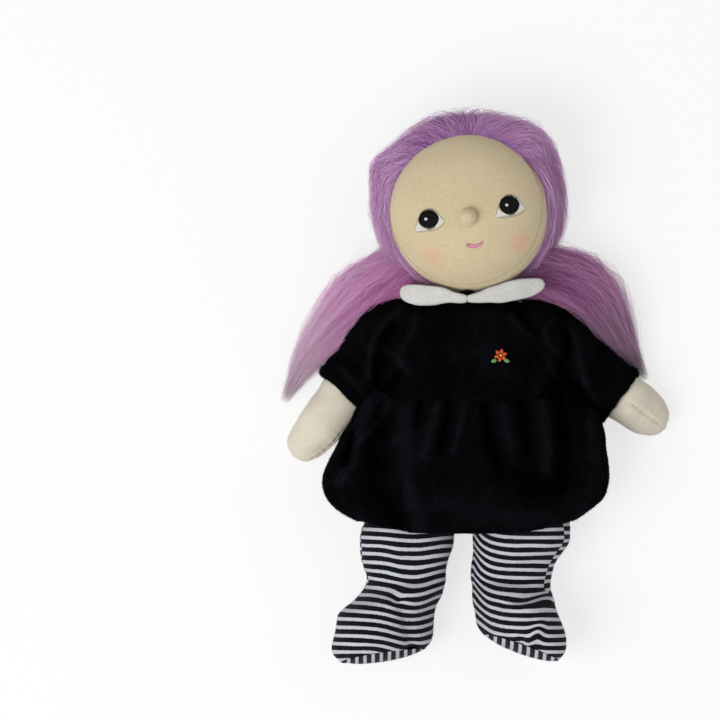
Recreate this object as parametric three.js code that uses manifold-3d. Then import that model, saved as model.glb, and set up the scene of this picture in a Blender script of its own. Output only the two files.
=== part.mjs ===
// Cloth doll lying on its back: stuffed body and limbs, velvet dress, pile-fabric hair.
// Millimetres. X runs across the doll, Y from the feet to the head, Z up from the floor.
// Left and right are the doll's own: its left side is on +X.

import * as THREE from "three";
import { mergeVertices } from "three/addons/utils/BufferGeometryUtils.js";
import Module from "manifold-3d";

const wasm = await Module();
wasm.setup();

const { PI, abs, cos, sin, max, min, sign, sqrt, hypot } = Math;
const degrees = PI / 180;

// Cloths and fits
const gap = 0.3; // room between two pieces that lie on each other
const skinCloth = 1.0; // velour skin and knit legs
const dressCloth = 1.4; // velvet
const collarCloth = 2.0; // fleece
const soleCloth = 1.2;
const restFlat = 0.5; // how far a soft piece is pressed flat where it lies on the floor

// Head, a flattened ball that leans towards the doll's right shoulder
const headWidth = 66;
const headHeight = 65;
const headDepth = 54;
const headRound = 2.3; // 2 is an ellipsoid, more is boxier
const headLean = 9 * degrees;
const headX = 1;
const headY = 189.4;
const seamAngle = 64 * degrees; // face seam, measured from the tip of the face

// Hair
const hairSide = 7; // pile beyond the head at the sides
const hairTop = 8; // pile beyond the head at the top
const hairBack = 5; // pile pressed under the back of the head
const hairRound = 2.4;
const hairRim = 78 * degrees; // front edge of the pile, measured from the tip of the face
const hairRoot = 72 * degrees; // where its front edge meets the head
const pigtailWidth = 22;
const pigtailDepth = 18;
const tieThickness = 2.2;
const hairRoom = 5; // room between a pigtail and a cuff, so that the head can move
const hairGap = 1.2; // more room between a pigtail and the rest of a sleeve

// Trunk
const torsoWidth = 58;
const torsoDepth = 40;
const hipY = 88;
const hipBead = 2; // rolled seam that a leg swings on
const shoulderBead = 1.6; // rolled seam that an arm swings on
const torsoTopY = 144;
const neckRadius = 9.5;
const neckBall = 10.5;
const neckY = 150; // where the neck nods
const neckTopY = 166;
const shoulderY = 137;

// Arms
const armLength = 67;
const armWidth = 21;
const armDepth = 20;
const armSeam = 13; // sewn edge at the shoulder
const cuffLength = 4.5;

// Legs
const legWidth = 38;
const legDepth = 34;
const footLength = 47;
const footWidth = 30;
const ankleDrop = 53; // hip seam to ankle

// Dress
const waistY = 110;
const necklineY = 154;
const waistEase = 7; // how much wider than the trunk the waist is, each side
const bodiceEase = 1.2;
const neckDip = 2.2; // how much lower the neckline is at the front
const skirtWidth = 118;
const skirtDepth = 50;
const hemY = 56;
const hemRise = 5; // how much higher the hem is at the sides
const skirtFolds = 12;
const skirtRound = 2.4;
const skirtBackRound = 3.8; // the back lies flat on the floor
const skirtRest = 1.8; // how far its folds are pressed flat there

// Heights of the pieces above the floor
const torsoZ = dressCloth + gap + bodiceEase + torsoDepth / 2 - 0.7;
const headZ = hairBack + headDepth / 2;
const neckZ = torsoZ + 2;

// What differs between the two sides, as the doll lies
const sides = [
  {
    name: "left", sign: 1, armDrop: 37 * degrees, sleeveLength: 42,
    hipX: 15, kneeX: 21.7, ankleX: 18.4, footX: 21.5, footDrop: 80, toeOut: 30 * degrees, soleSlope: 0.38,
    pigtail: [[34, 167.8, 16], [49, 161, 13], [60.5, 149.5, 11.5], [69, 136.5, 10], [78, 123, 8]],
  },
  {
    name: "right", sign: -1, armDrop: 47 * degrees, sleeveLength: 33,
    hipX: 15, kneeX: 26, ankleX: 26, footX: 34.5, footDrop: 82, toeOut: 43 * degrees, soleSlope: 0.24,
    pigtail: [[34, 165, 16], [44.5, 157, 13], [57, 144.5, 11.5], [67.5, 129, 10], [78, 112, 8]],
  },
];
const soleTip = 0.1; // how far the sole turns up towards the front

// Materials, one per cloth
function cloth(hex, roughness) {
  return new THREE.MeshStandardMaterial({ color: hex, roughness, metalness: 0 });
}
const materials = {
  skin: cloth("#d9caa8", 0.95),
  velvet: cloth("#0d0e12", 0.9),
  fleece: cloth("#eceae6", 0.95),
  pile: cloth("#a995b4", 0.9),
  knit: cloth("#8d8f97", 0.95),
  filling: cloth("#f4f1ea", 1),
  blackThread: cloth("#121316", 0.6),
  whiteThread: cloth("#f1f1f3", 0.6),
  pinkThread: cloth("#d98b98", 0.6),
  motifThread: cloth("#e0843a", 0.6),
  elastic: cloth("#6d5b78", 0.8),
};

// A smooth value through stations, with no overshoot between them
function smoothThrough(stations) {
  const fields = Object.keys(stations[0]).filter((field) => field !== "at");
  const last = stations.length - 1;
  function slope(field, i) {
    const before = stations[max(i - 1, 0)];
    const here = stations[i];
    const after = stations[min(i + 1, last)];
    if (i === 0 || i === last) {
      return (after[field] - before[field]) / (after.at - before.at);
    }
    const rise = (here[field] - before[field]) / (here.at - before.at);
    const next = (after[field] - here[field]) / (after.at - here.at);
    return rise * next <= 0 ? 0 : (2 * rise * next) / (rise + next);
  }
  return (at) => {
    let i = 0;
    while (i < last - 1 && at > stations[i + 1].at) {
      i += 1;
    }
    const from = stations[i];
    const to = stations[i + 1];
    const run = to.at - from.at;
    const t = min(max((at - from.at) / run, 0), 1);
    const value = {};
    for (const field of fields) {
      const bend = (1 + 2 * t) * (1 - t) * (1 - t) * from[field] + t * t * (3 - 2 * t) * to[field];
      const lead = t * (1 - t) * (1 - t) * run * slope(field, i);
      const tail = t * t * (1 - t) * run * slope(field, i + 1);
      value[field] = bend + lead - tail;
    }
    return value;
  };
}

function spread(from, to, count) {
  return Array.from({ length: count }, (_, i) => from + ((to - from) * i) / (count - 1));
}

function ring(count, pointAt) {
  return Array.from({ length: count }, (_, i) => pointAt((i / count) * 2 * PI));
}

// Rounded-box curve: 2 is an ellipse, more is boxier
function boxy(value, power) {
  return sign(value) * abs(value) ** (2 / power);
}

function lay(z, height) {
  return max(z, height);
}

// Closed surface from points and triangles, turned to face out
function closedSurface(points, faces) {
  let volume = 0;
  const cross = new THREE.Vector3();
  for (let i = 0; i < faces.length; i += 3) {
    cross.crossVectors(points[faces[i + 1]], points[faces[i + 2]]);
    volume += points[faces[i]].dot(cross);
  }
  const geometry = new THREE.BufferGeometry().setFromPoints(points);
  geometry.setIndex(volume < 0 ? faces.toReversed() : faces);
  return geometry;
}

// Skin over rings of points: capped at both ends, or closed on itself as a hollow tube
function loft(rings, hollow = false) {
  const count = rings[0].length;
  const points = rings.flat();
  const faces = [];
  const bands = hollow ? rings.length : rings.length - 1;
  for (let i = 0; i < bands; i += 1) {
    const low = i * count;
    const high = ((i + 1) % rings.length) * count;
    for (let k = 0; k < count; k += 1) {
      const next = (k + 1) % count;
      faces.push(low + k, low + next, high + next, low + k, high + next, high + k);
    }
  }
  if (!hollow) {
    for (const end of [0, rings.length - 1]) {
      const middle = new THREE.Vector3();
      rings[end].forEach((point) => middle.addScaledVector(point, 1 / count));
      const centre = points.push(middle) - 1;
      for (let k = 0; k < count; k += 1) {
        const here = end * count + k;
        const next = end * count + ((k + 1) % count);
        faces.push(...(end === 0 ? [centre, next, here] : [centre, here, next]));
      }
    }
  }
  return closedSurface(points, faces);
}

function solidOf(geometry) {
  const bare = geometry.clone();
  bare.deleteAttribute("normal");
  bare.deleteAttribute("uv");
  const welded = mergeVertices(bare, 1e-4);
  return new wasm.Manifold(new wasm.Mesh({
    numProp: 3,
    vertProperties: new Float32Array(welded.attributes.position.array),
    triVerts: new Uint32Array(welded.index.array),
  }));
}

function geometryOf(solid) {
  const mesh = solid.getMesh();
  const geometry = new THREE.BufferGeometry();
  geometry.setAttribute("position", new THREE.BufferAttribute(mesh.vertProperties, 3));
  geometry.setIndex(new THREE.BufferAttribute(mesh.triVerts, 1));
  return geometry;
}

// A piece less its neighbours; a crumb left loose by the cut falls away
function cut(geometry, cutters) {
  let solid = solidOf(geometry);
  for (const cutter of cutters) {
    solid = solid.subtract(solidOf(cutter));
  }
  const pieces = solid.decompose();
  pieces.sort((a, b) => b.volume() - a.volume());
  return geometryOf(pieces[0]);
}

const doll = new THREE.Group();
doll.name = "doll";

function add(name, geometry, material) {
  const flat = geometry.index ? geometry.toNonIndexed() : geometry;
  flat.computeVertexNormals();
  const mesh = new THREE.Mesh(flat, material);
  mesh.name = name;
  doll.add(mesh);
}

// Head surface: around turns about the face axis, out runs from the tip of the face to the back
const headFrame = new THREE.Matrix4()
  .makeTranslation(headX, headY, headZ)
  .multiply(new THREE.Matrix4().makeRotationZ(headLean));

function ballPoint(halves, power, around, out) {
  const across = boxy(sin(out), power);
  return new THREE.Vector3(
    halves.x * across * cos(around),
    halves.y * across * sin(around),
    halves.z * boxy(cos(out), power),
  );
}

function headHalves(grow) {
  return new THREE.Vector3(headWidth / 2 + grow, headHeight / 2 + grow, headDepth / 2 + grow);
}

const headCount = 24;
const poleAngle = 8 * degrees;

function headRings(from, to, count, grow) {
  return spread(from, to, count).map((out) => ring(headCount, (around) => {
    const point = ballPoint(headHalves(grow), headRound, around, out).applyMatrix4(headFrame);
    point.z = lay(point.z, hairBack - restFlat - grow);
    return point;
  }));
}

function headShell(from, to, count) {
  const outside = headRings(from, to, count, 0);
  const inside = headRings(to, from, count, -skinCloth);
  return loft([...outside, ...inside]);
}

// The neck fills this hole in everything above the collar
function neckHole(radius, from, to) {
  const hole = new THREE.CylinderGeometry(radius, radius, to - from, 24);
  return hole.translate(0, (from + to) / 2, neckZ);
}
const headHole = neckHole(neckRadius + gap + 0.1, torsoTopY, neckTopY + gap);
const seamHalfGap = gap / headDepth;

const facePanel = headShell(poleAngle, seamAngle - seamHalfGap, 6);
const headBackPanel = headShell(PI - poleAngle, seamAngle + seamHalfGap, 8);
const headFilling = loft(headRings(poleAngle, PI - poleAngle, 12, -skinCloth - gap - 0.2));
add("face_panel", cut(facePanel, [headHole]), materials.skin);
add("head_back_panel", cut(headBackPanel, [headHole]), materials.skin);
add("head_stuffing", cut(headFilling, [headHole]), materials.filling);

// Height of the face above the head's middle at a place on it
function faceHeight(x, y) {
  const halves = headHalves(0);
  const across = hypot(x / halves.x, y / halves.y);
  return halves.z * (1 - across ** headRound) ** (1 / headRound);
}

// Flat embroidery that lies on the face, from its outline
const patchSteps = [0.3, 1];
function facePatch(outline, low, high) {
  const centre = new THREE.Vector2();
  outline.forEach(([x, y]) => centre.add(new THREE.Vector2(x, y).divideScalar(outline.length)));
  function level(step, height) {
    return outline.map(([edgeX, edgeY]) => {
      const x = centre.x + (edgeX - centre.x) * step;
      const y = centre.y + (edgeY - centre.y) * step;
      return new THREE.Vector3(x, y, faceHeight(x, y) + height).applyMatrix4(headFrame);
    });
  }
  const under = patchSteps.map((step) => level(step, low));
  const over = patchSteps.toReversed().map((step) => level(step, high));
  return loft([...under, ...over]);
}

function oval(x, y, width, height, count) {
  return Array.from({ length: count }, (_, i) => {
    const turn = (i / count) * 2 * PI;
    return [x + (width / 2) * cos(turn), y + (height / 2) * sin(turn)];
  });
}

// Eyes: white corners under a black iris
const eyeSpread = 17;
const eyeHeight = -1;
const irisWidth = 7.7;
const irisHeight = 9;
const eyeWhiteWidth = 12.6;
const eyeThread = 0.5;

function eyeWhite(x, y) {
  const half = eyeWhiteWidth / 2;
  const top = irisHeight / 2;
  return [
    [x - half, y - 0.6 * top], [x - 0.5 * half, y - 0.86 * top], [x, y - 0.92 * top],
    [x + 0.5 * half, y - 0.8 * top], [x + half, y - 0.45 * top], [x + 0.66 * half, y + 0.25 * top],
    [x + 0.3 * half, y + 0.86 * top], [x, y + 0.98 * top], [x - 0.3 * half, y + 0.86 * top],
    [x - 0.66 * half, y + 0.2 * top],
  ];
}
for (const side of sides) {
  const x = side.sign * eyeSpread;
  const whiteTop = gap + eyeThread;
  add(`eye_white_${side.name}`, facePatch(eyeWhite(x, eyeHeight), gap, whiteTop), materials.whiteThread);
  const iris = oval(x, eyeHeight, irisWidth, irisHeight, 16);
  const irisLow = whiteTop + gap;
  add(`eye_iris_${side.name}`, facePatch(iris, irisLow, irisLow + eyeThread), materials.blackThread);
}

// Mouth: a short smile of satin stitch
const mouthWidth = 6.4;
const mouthDip = 1.3;
const mouthStroke = 1.5;
const mouthHeight = -14.2;
function mouthEdge(up) {
  return spread(-1, 1, 7).map((t) => {
    const stroke = mouthStroke * (0.3 + 0.7 * sqrt(1 - t ** 4));
    return [(t * mouthWidth) / 2, mouthHeight - mouthDip * (1 - t * t) + (up * stroke) / 2];
  });
}
const mouthOutline = [...mouthEdge(-1), ...mouthEdge(1).reverse()];
add("mouth_stitch", facePatch(mouthOutline, gap, gap + eyeThread), materials.pinkThread);

// Nose: a small round sewn knob
const noseWidth = 8;
const noseDepth = 3.6;
const noseHeight = -3;
const noseLevels = spread(0, 80, 6).map((turn) => ring(16, (around) => {
  const x = (noseWidth / 2) * cos(turn * degrees) * cos(around);
  const y = noseHeight + (noseWidth / 2) * cos(turn * degrees) * sin(around);
  const rise = gap + noseDepth * sin(turn * degrees);
  return new THREE.Vector3(x, y, faceHeight(x, y) + rise).applyMatrix4(headFrame);
}));
add("nose", loft(noseLevels), materials.skin);

// Hair cap: thick pile over the top, sides and back of the head
const hairHalves = new THREE.Vector3(
  headWidth / 2 + hairSide,
  headHeight / 2 + hairTop,
  headZ + restFlat,
);
function hairRings(from, to, count, halves, power) {
  return spread(from, to, count).map((out) => ring(26, (around) => {
    const point = ballPoint(halves, power, around, out).applyMatrix4(headFrame);
    point.z = lay(point.z, 0);
    return point;
  }));
}
const hairLining = headHalves(gap + 0.2);
const hairShell = loft([
  ...hairRings(PI - poleAngle, hairRim, 9, hairHalves, hairRound),
  ...hairRings(hairRoot, PI - poleAngle, 8, hairLining, headRound),
]);
const chinY = -20; // below this, in the head's own frame, the front has no hair
const napeY = -27; // and below this none at all
function headBox(top, front, back) {
  const size = headHeight;
  const box = new THREE.BoxGeometry(2 * size, size, front - back);
  return box.translate(0, top - size / 2, (front + back) / 2).applyMatrix4(headFrame);
}
const chinOpening = headBox(chinY, headDepth, -8);
const napeOpening = headBox(napeY, headDepth, -headDepth);
const hairHole = neckHole(neckRadius + 2, torsoTopY, neckTopY + 2);
const hairCap = cut(hairShell, [chinOpening, napeOpening, hairHole]);
add("hair_cap", hairCap, materials.pile);

// Neck: a stuffed post with a ball end that sits in the trunk
function neckSolid(grow, topY) {
  const profile = [new THREE.Vector2(0, neckY - neckBall - grow)];
  for (const turn of spread(-70, -5, 6)) {
    const reach = (neckBall + grow) * cos(turn * degrees);
    profile.push(new THREE.Vector2(reach, neckY + (neckBall + grow) * sin(turn * degrees)));
  }
  profile.push(new THREE.Vector2(neckRadius + grow, neckY + 4));
  profile.push(new THREE.Vector2(neckRadius + grow, topY));
  return profile;
}
function turned(profile) {
  return new THREE.LatheGeometry(profile, 16).translate(0, 0, neckZ);
}
const neckInside = neckSolid(-skinCloth, neckTopY).reverse();
add("neck_cover", turned([...neckSolid(0, neckTopY), ...neckInside]), materials.skin);
const neckFilling = [...neckSolid(-skinCloth - gap, neckTopY - 0.5), new THREE.Vector2(0, neckTopY - 0.5)];
add("neck_stuffing", turned(neckFilling), materials.filling);
const neckSocket = turned([...neckSolid(gap, neckTopY), new THREE.Vector2(0, neckTopY)]);

// Trunk: flat at the hip seam, full at the belly, drawn in at the neck
const torsoAt = smoothThrough([
  { at: hipY + gap, width: torsoWidth * 0.96, depth: 2.6 },
  { at: hipY + 4, width: torsoWidth * 0.98, depth: torsoDepth * 0.165 },
  { at: hipY + 9, width: torsoWidth, depth: torsoDepth * 0.41 },
  { at: hipY + 15, width: torsoWidth, depth: torsoDepth * 0.7 },
  { at: waistY, width: torsoWidth, depth: torsoDepth * 0.96 },
  { at: waistY + 14, width: torsoWidth * 0.98, depth: torsoDepth },
  { at: shoulderY, width: torsoWidth * 0.92, depth: torsoDepth * 0.92 },
  { at: torsoTopY - 2, width: torsoWidth * 0.66, depth: torsoDepth * 0.74 },
  { at: torsoTopY, width: neckBall * 2 + 3, depth: neckBall * 2 + 3 },
]);
const torsoHeights = [
  hipY + gap, hipY + 4, hipY + 9, hipY + 15, waistY, waistY + 14, shoulderY, torsoTopY - 2, torsoTopY,
];

function torsoRings(heights, grow) {
  return heights.map((y) => ring(22, (around) => {
    const size = torsoAt(y);
    return new THREE.Vector3(
      (size.width / 2 + grow) * boxy(cos(around), 2.3),
      y,
      torsoZ + max(size.depth / 2 + grow, 0.3) * boxy(sin(around), 2.3),
    );
  }));
}
const torsoInside = torsoRings(torsoHeights.toReversed(), -skinCloth);
const torsoShell = loft([...torsoRings(torsoHeights, 0), ...torsoInside], true);
const hipGroove = new THREE.CylinderGeometry(hipBead + gap, hipBead + gap, torsoWidth + 4, 20)
  .rotateZ(PI / 2)
  .translate(0, hipY, torsoZ);
const shoulderX = (torsoWidth * 0.95) / 2 + shoulderBead;
const shoulderGrooves = sides.map((side) => (
  new THREE.CylinderGeometry(shoulderBead + gap, shoulderBead + gap, armSeam + 2, 16)
    .translate(side.sign * shoulderX, shoulderY, torsoZ)
));
add("torso_cover", cut(torsoShell, [neckSocket, hipGroove, ...shoulderGrooves]), materials.skin);
const fillingHeights = torsoHeights.slice(1, -1).reverse();
const torsoFilling = loft(torsoRings(fillingHeights, -skinCloth - gap));
add("torso_stuffing", cut(torsoFilling, [neckSocket]), materials.filling);
const torsoRoom = loft(torsoRings(torsoHeights, gap));

// Arms: flat where they are sewn to the trunk's side, a mitten at the other end
const cuffLift = 2.4; // the sleeve lies under the arm and holds it off the floor
const armAt = smoothThrough([
  { at: -shoulderBead, width: armSeam * 0.9, depth: shoulderBead * 0.6, z: torsoZ },
  { at: -shoulderBead / 2, width: armSeam * 0.97, depth: shoulderBead * 1.7, z: torsoZ },
  { at: 0, width: armSeam, depth: shoulderBead * 2, z: torsoZ },
  { at: 3, width: armWidth * 0.66, depth: shoulderBead * 2.2, z: torsoZ - 0.3 },
  { at: 8, width: armWidth * 0.76, depth: armDepth * 0.38, z: torsoZ - 1.4 },
  { at: 17, width: armWidth * 0.92, depth: armDepth * 0.76, z: torsoZ - 5 },
  { at: 34, width: armWidth * 0.95, depth: armDepth * 0.95, z: armDepth / 2 + cuffLift + 0.5 },
  { at: 48, width: armWidth, depth: armDepth, z: armDepth / 2 + cuffLift },
  { at: 57, width: armWidth * 0.93, depth: armDepth * 0.88, z: armDepth * 0.44 - restFlat },
  { at: 63, width: armWidth * 0.68, depth: armDepth * 0.62, z: armDepth * 0.36 },
  { at: armLength - 0.6, width: armWidth * 0.28, depth: armDepth * 0.25, z: armDepth * 0.34 },
]);
const seamTurn = 20; // the sewn edge is upright, and the arm's own section takes over by here

function armFrame(side, along) {
  const blend = min(max(along / seamTurn, 0), 1);
  const turn = side.armDrop * blend * blend * (3 - 2 * blend);
  return {
    x: side.sign * (shoulderX + along * cos(side.armDrop * blend)),
    y: shoulderY - along * sin(side.armDrop * blend),
    acrossX: side.sign * sin(turn),
    acrossY: cos(turn),
  };
}

function limbRing(side, along, size, grow, floor, count) {
  const frame = armFrame(side, along);
  return ring(count, (around) => {
    const across = max(size.width / 2 + grow, 0.4) * boxy(cos(around), 2.2);
    const up = max(size.depth / 2 + grow, 0.3) * boxy(sin(around), 2.2);
    return new THREE.Vector3(
      frame.x + frame.acrossX * across,
      frame.y + frame.acrossY * across,
      lay(size.z + up, floor),
    );
  });
}

const armPlaces = [
  -shoulderBead, -shoulderBead / 2, 0, 4, 8, 12, 17, 25, 34, 48, 53, 57, 61, 64, armLength - 0.6,
];
function armRings(side, places, grow, floor) {
  return places.map((along) => limbRing(side, along, armAt(along), grow, floor, 16));
}

// Sleeves: wide tubes from the armhole to the elbow, over the arms
function sleeveAt(side) {
  return smoothThrough([
    { at: -4, width: 26, depth: 27, z: torsoZ },
    { at: 8, width: 29, depth: 29, z: torsoZ - 2.5 },
    { at: side.sleeveLength * 0.6, width: 29.5, depth: 28, z: 14.5 },
    { at: side.sleeveLength, width: 26.5, depth: 26, z: 13 - restFlat },
  ]);
}
function sleeveRings(side, places, grow, floor) {
  const shape = sleeveAt(side);
  return places.map((along) => limbRing(side, along, shape(along), grow, floor, 22));
}
function sleevePlaces(side) {
  return spread(-4, side.sleeveLength, 7);
}

const handCutters = [];
const cuffCutters = [];
const sleeveCutters = [];
const pigtailCutters = [];
for (const side of sides) {
  const outside = armRings(side, armPlaces, 0, 0);
  const inside = armRings(side, armPlaces.slice(0, -1).reverse(), -skinCloth, skinCloth);
  const armShell = loft([...outside.reverse(), ...inside.reverse()]);
  add(`arm_cover_${side.name}`, armShell, materials.skin);
  const filled = armPlaces.slice(4, -2);
  const filling = loft(armRings(side, filled, -skinCloth - gap, skinCloth + gap));
  add(`arm_stuffing_${side.name}`, filling, materials.filling);

  const places = sleevePlaces(side);
  const sleeveOut = sleeveRings(side, places, 0, 0);
  const sleeveIn = sleeveRings(side, places.toReversed(), -dressCloth, dressCloth);
  add(`sleeve_${side.name}`, cut(loft([...sleeveOut, ...sleeveIn], true), [torsoRoom]), materials.velvet);

  const end = sleeveAt(side)(side.sleeveLength);
  const cuffPlaces = spread(side.sleeveLength + gap, side.sleeveLength + gap + cuffLength, 3);
  const swell = [0, 0.7, 0];
  const cuffOut = cuffPlaces.map((along, i) => limbRing(side, along, end, swell[i], 0, 22));
  const cuffIn = cuffPlaces.map((along, i) => limbRing(side, along, end, -2 - swell[i] / 2, dressCloth, 22));
  add(`sleeve_cuff_${side.name}`, loft([...cuffOut, ...cuffIn.reverse()], true), materials.velvet);

  const room = gap + 0.1;
  const cutPlaces = [-9, ...places, side.sleeveLength + gap + cuffLength + room];
  function sleeveCutter(more) {
    return loft(cutPlaces.map((along) => {
      const swollen = along > side.sleeveLength - 3 ? 0.7 : 0;
      return limbRing(side, along, sleeveAt(side)(along), room + swollen + more, -20, 22);
    }));
  }
  sleeveCutters.push(sleeveCutter(0));
  pigtailCutters.push(sleeveCutter(hairGap));
  handCutters.push(loft(armRings(side, armPlaces.slice(6), room, -20)));
  const swingPlaces = spread(side.sleeveLength - 3, side.sleeveLength + cuffLength + 4, 4);
  cuffCutters.push(loft(swingPlaces.map((along) => limbRing(side, along, end, hairRoom, -20, 22))));
}

// Bodice: an easy shell over the trunk, open at the neck, the waist and the two armholes
const waistWidth = torsoWidth + 2 * waistEase;
const bodiceDepth = torsoDepth + 2 * bodiceEase + 2 * dressCloth;
const bodiceAt = smoothThrough([
  { at: waistY + gap / 2, width: waistWidth, depth: bodiceDepth },
  { at: waistY + 12, width: torsoWidth + 2 * dressCloth + 6, depth: bodiceDepth + 1 },
  { at: shoulderY, width: torsoWidth + 2 * dressCloth + 1, depth: bodiceDepth - 1 },
  { at: shoulderY + 6, width: torsoWidth, depth: torsoDepth + 1 },
  { at: shoulderY + 10, width: torsoWidth * 0.96, depth: torsoDepth - 2 },
  { at: shoulderY + 14, width: torsoWidth * 0.74, depth: torsoDepth * 0.82 },
  { at: necklineY, width: neckRadius * 2 + 11, depth: neckRadius * 2 + 10 },
]);
const bodiceHeights = [
  waistY + gap / 2, waistY + 6, waistY + 12, waistY + 20, shoulderY, shoulderY + 6, shoulderY + 10,
  shoulderY + 12, shoulderY + 14, necklineY,
];

function bodicePoint(y, around, grow, floor) {
  const size = bodiceAt(y);
  const high = max((y - shoulderY) / (necklineY - shoulderY), 0);
  return new THREE.Vector3(
    (size.width / 2 + grow) * boxy(cos(around), 2.3),
    y - neckDip * high * high * max(sin(around), 0),
    lay(torsoZ + (size.depth / 2 + grow) * boxy(sin(around), 2.3), floor),
  );
}
function bodiceRings(heights, grow, floor) {
  return heights.map((y) => ring(28, (around) => bodicePoint(y, around, grow, floor)));
}
const bodiceShell = loft([
  ...bodiceRings(bodiceHeights, 0, 0),
  ...bodiceRings(bodiceHeights.toReversed(), -dressCloth, dressCloth),
], true);
add("dress_bodice", cut(bodiceShell, sleeveCutters), materials.velvet);

// Skirt: gathered at the waist, full below, drawn in to a curved hem
const skirtAt = smoothThrough([
  { at: 0, width: waistWidth, depth: bodiceDepth, fold: 0.9 },
  { at: 0.12, width: skirtWidth * 0.7, depth: skirtDepth * 0.96, fold: 1.4 },
  { at: 0.25, width: skirtWidth * 0.805, depth: skirtDepth * 0.97, fold: 1.5 },
  { at: 0.37, width: skirtWidth * 0.885, depth: skirtDepth * 0.98, fold: 1.5 },
  { at: 0.53, width: skirtWidth * 0.962, depth: skirtDepth, fold: 1.5 },
  { at: 0.69, width: skirtWidth, depth: skirtDepth, fold: 1.4 },
  { at: 0.82, width: skirtWidth * 0.985, depth: skirtDepth * 0.99, fold: 1.3 },
  { at: 0.92, width: skirtWidth * 0.93, depth: skirtDepth * 0.96, fold: 1.1 },
  { at: 1, width: skirtWidth * 0.86, depth: skirtDepth * 0.88, fold: 0.8 },
]);
const skirtTopY = waistY - gap / 2;
const hemTurn = 1.2; // the turned-up hem thickens the edge by this much

function skirtPoint(down, around, grow, floor) {
  const size = skirtAt(down);
  const fold = size.fold * cos(skirtFolds * around + 3 * sin(around)) + grow;
  const bottomY = hemY + hemRise * cos(around) ** 2;
  const middleZ = size.depth / 2 - restFlat;
  const under = sin(around) < 0;
  const power = under ? skirtBackRound : skirtRound;
  const press = under ? skirtRest : 0;
  return new THREE.Vector3(
    (size.width / 2 + fold) * boxy(cos(around), power),
    skirtTopY + (bottomY - skirtTopY) * down,
    lay(middleZ + (size.depth / 2 + fold + press) * boxy(sin(around), power), floor),
  );
}
const skirtCount = 60;
const skirtPlaces = [0, 0.12, 0.27, 0.45, 0.65, 0.8, 0.91, 1];
const skirtOut = skirtPlaces.map((down) => ring(skirtCount, (around) => skirtPoint(down, around, 0, 0)));
const skirtIn = skirtPlaces.toReversed().map((down) => {
  const thick = dressCloth + (down > 0.9 ? hemTurn : 0);
  return ring(skirtCount, (around) => skirtPoint(down, around, -thick, thick));
});
const dressSkirt = cut(loft([...skirtOut, ...skirtIn], true), [...sleeveCutters, ...handCutters]);
add("dress_skirt", dressSkirt, materials.velvet);

// Collar: two soft leaves that lie on the shoulders, parted at the front and the back
const collarPart = 5 * degrees;
const collarDrop = 7.4;
function collarLeaf(side) {
  const count = 15;
  const steps = 5;
  const points = [];
  const levels = [gap + 0.1, gap + collarCloth];
  const half = PI / 2 - collarPart;
  for (const level of levels) {
    for (const t of spread(-1, 1, count)) {
      const around = (side.sign > 0 ? 0 : PI) + t * half;
      const reach = 1 - 0.55 * abs(t) ** 7;
      for (const step of spread(0, 1, steps)) {
        const y = necklineY - gap - collarDrop * reach * step;
        const puff = level > 1 ? 0.5 * sin(PI * step) : 0;
        points.push(bodicePoint(y, around, level + puff, 0));
      }
    }
  }
  const faces = [];
  const layer = count * steps;
  const at = (level, i, k) => level * layer + i * steps + k;
  const quad = (a, b, c, d) => faces.push(a, b, c, a, c, d);
  for (let i = 0; i < count - 1; i += 1) {
    for (let k = 0; k < steps - 1; k += 1) {
      quad(at(0, i, k), at(0, i, k + 1), at(0, i + 1, k + 1), at(0, i + 1, k));
      quad(at(1, i, k), at(1, i + 1, k), at(1, i + 1, k + 1), at(1, i, k + 1));
    }
    quad(at(0, i, 0), at(0, i + 1, 0), at(1, i + 1, 0), at(1, i, 0));
    quad(at(0, i, steps - 1), at(1, i, steps - 1), at(1, i + 1, steps - 1), at(0, i + 1, steps - 1));
  }
  for (let k = 0; k < steps - 1; k += 1) {
    quad(at(0, 0, k), at(1, 0, k), at(1, 0, k + 1), at(0, 0, k + 1));
    quad(at(0, count - 1, k), at(0, count - 1, k + 1), at(1, count - 1, k + 1), at(1, count - 1, k));
  }
  return closedSurface(points, faces);
}
for (const side of sides) {
  add(`collar_${side.name}`, cut(collarLeaf(side), sleeveCutters), materials.fleece);
}

// Binding round the neckline, above the collar's edge
const bindingThickness = 1.2;
const bindingLevels = [[0, 0], [0, 1], [-1, 1], [-1, 0]];
const bindingRings = bindingLevels.map(([out, up]) => ring(28, (around) => {
  const point = bodicePoint(necklineY, around, out * bindingThickness + 0.4, 0);
  point.y += gap + up * bindingThickness;
  return point;
}));
add("neck_binding", loft(bindingRings, true), materials.velvet);

// Small embroidered sprig on the chest
const motifX = 14;
const motifY = 128;
const motifWidth = 11;
const motifHeight = 6.6;
const motifThread = 0.6;
function chestHeight(x, y) {
  const size = bodiceAt(y);
  return torsoZ + (size.depth / 2) * (1 - abs((2 * x) / size.width) ** 2.3) ** (1 / 2.3);
}
const motifEdge = Array.from({ length: 24 }, (_, i) => {
  const turn = (i / 24) * 2 * PI;
  const petal = 1 + 0.12 * cos(6 * turn);
  return [motifX + (motifWidth / 2) * petal * cos(turn), motifY + (motifHeight / 2) * petal * sin(turn)];
});
const motifLevels = [gap, gap + motifThread].map((height) => motifEdge.map(([x, y]) => (
  new THREE.Vector3(x, y, chestHeight(x, y) + height)
)));
add("chest_motif", loft(motifLevels), materials.motifThread);

// Legs: flat at the hip seam, full at the thigh, drawn in at the ankle, with feet that turn out
const hemLift = 3.4; // the skirt lies under the legs and holds them off the floor
const hipWidth = legWidth * 0.67; // of one leg, at the seam

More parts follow.
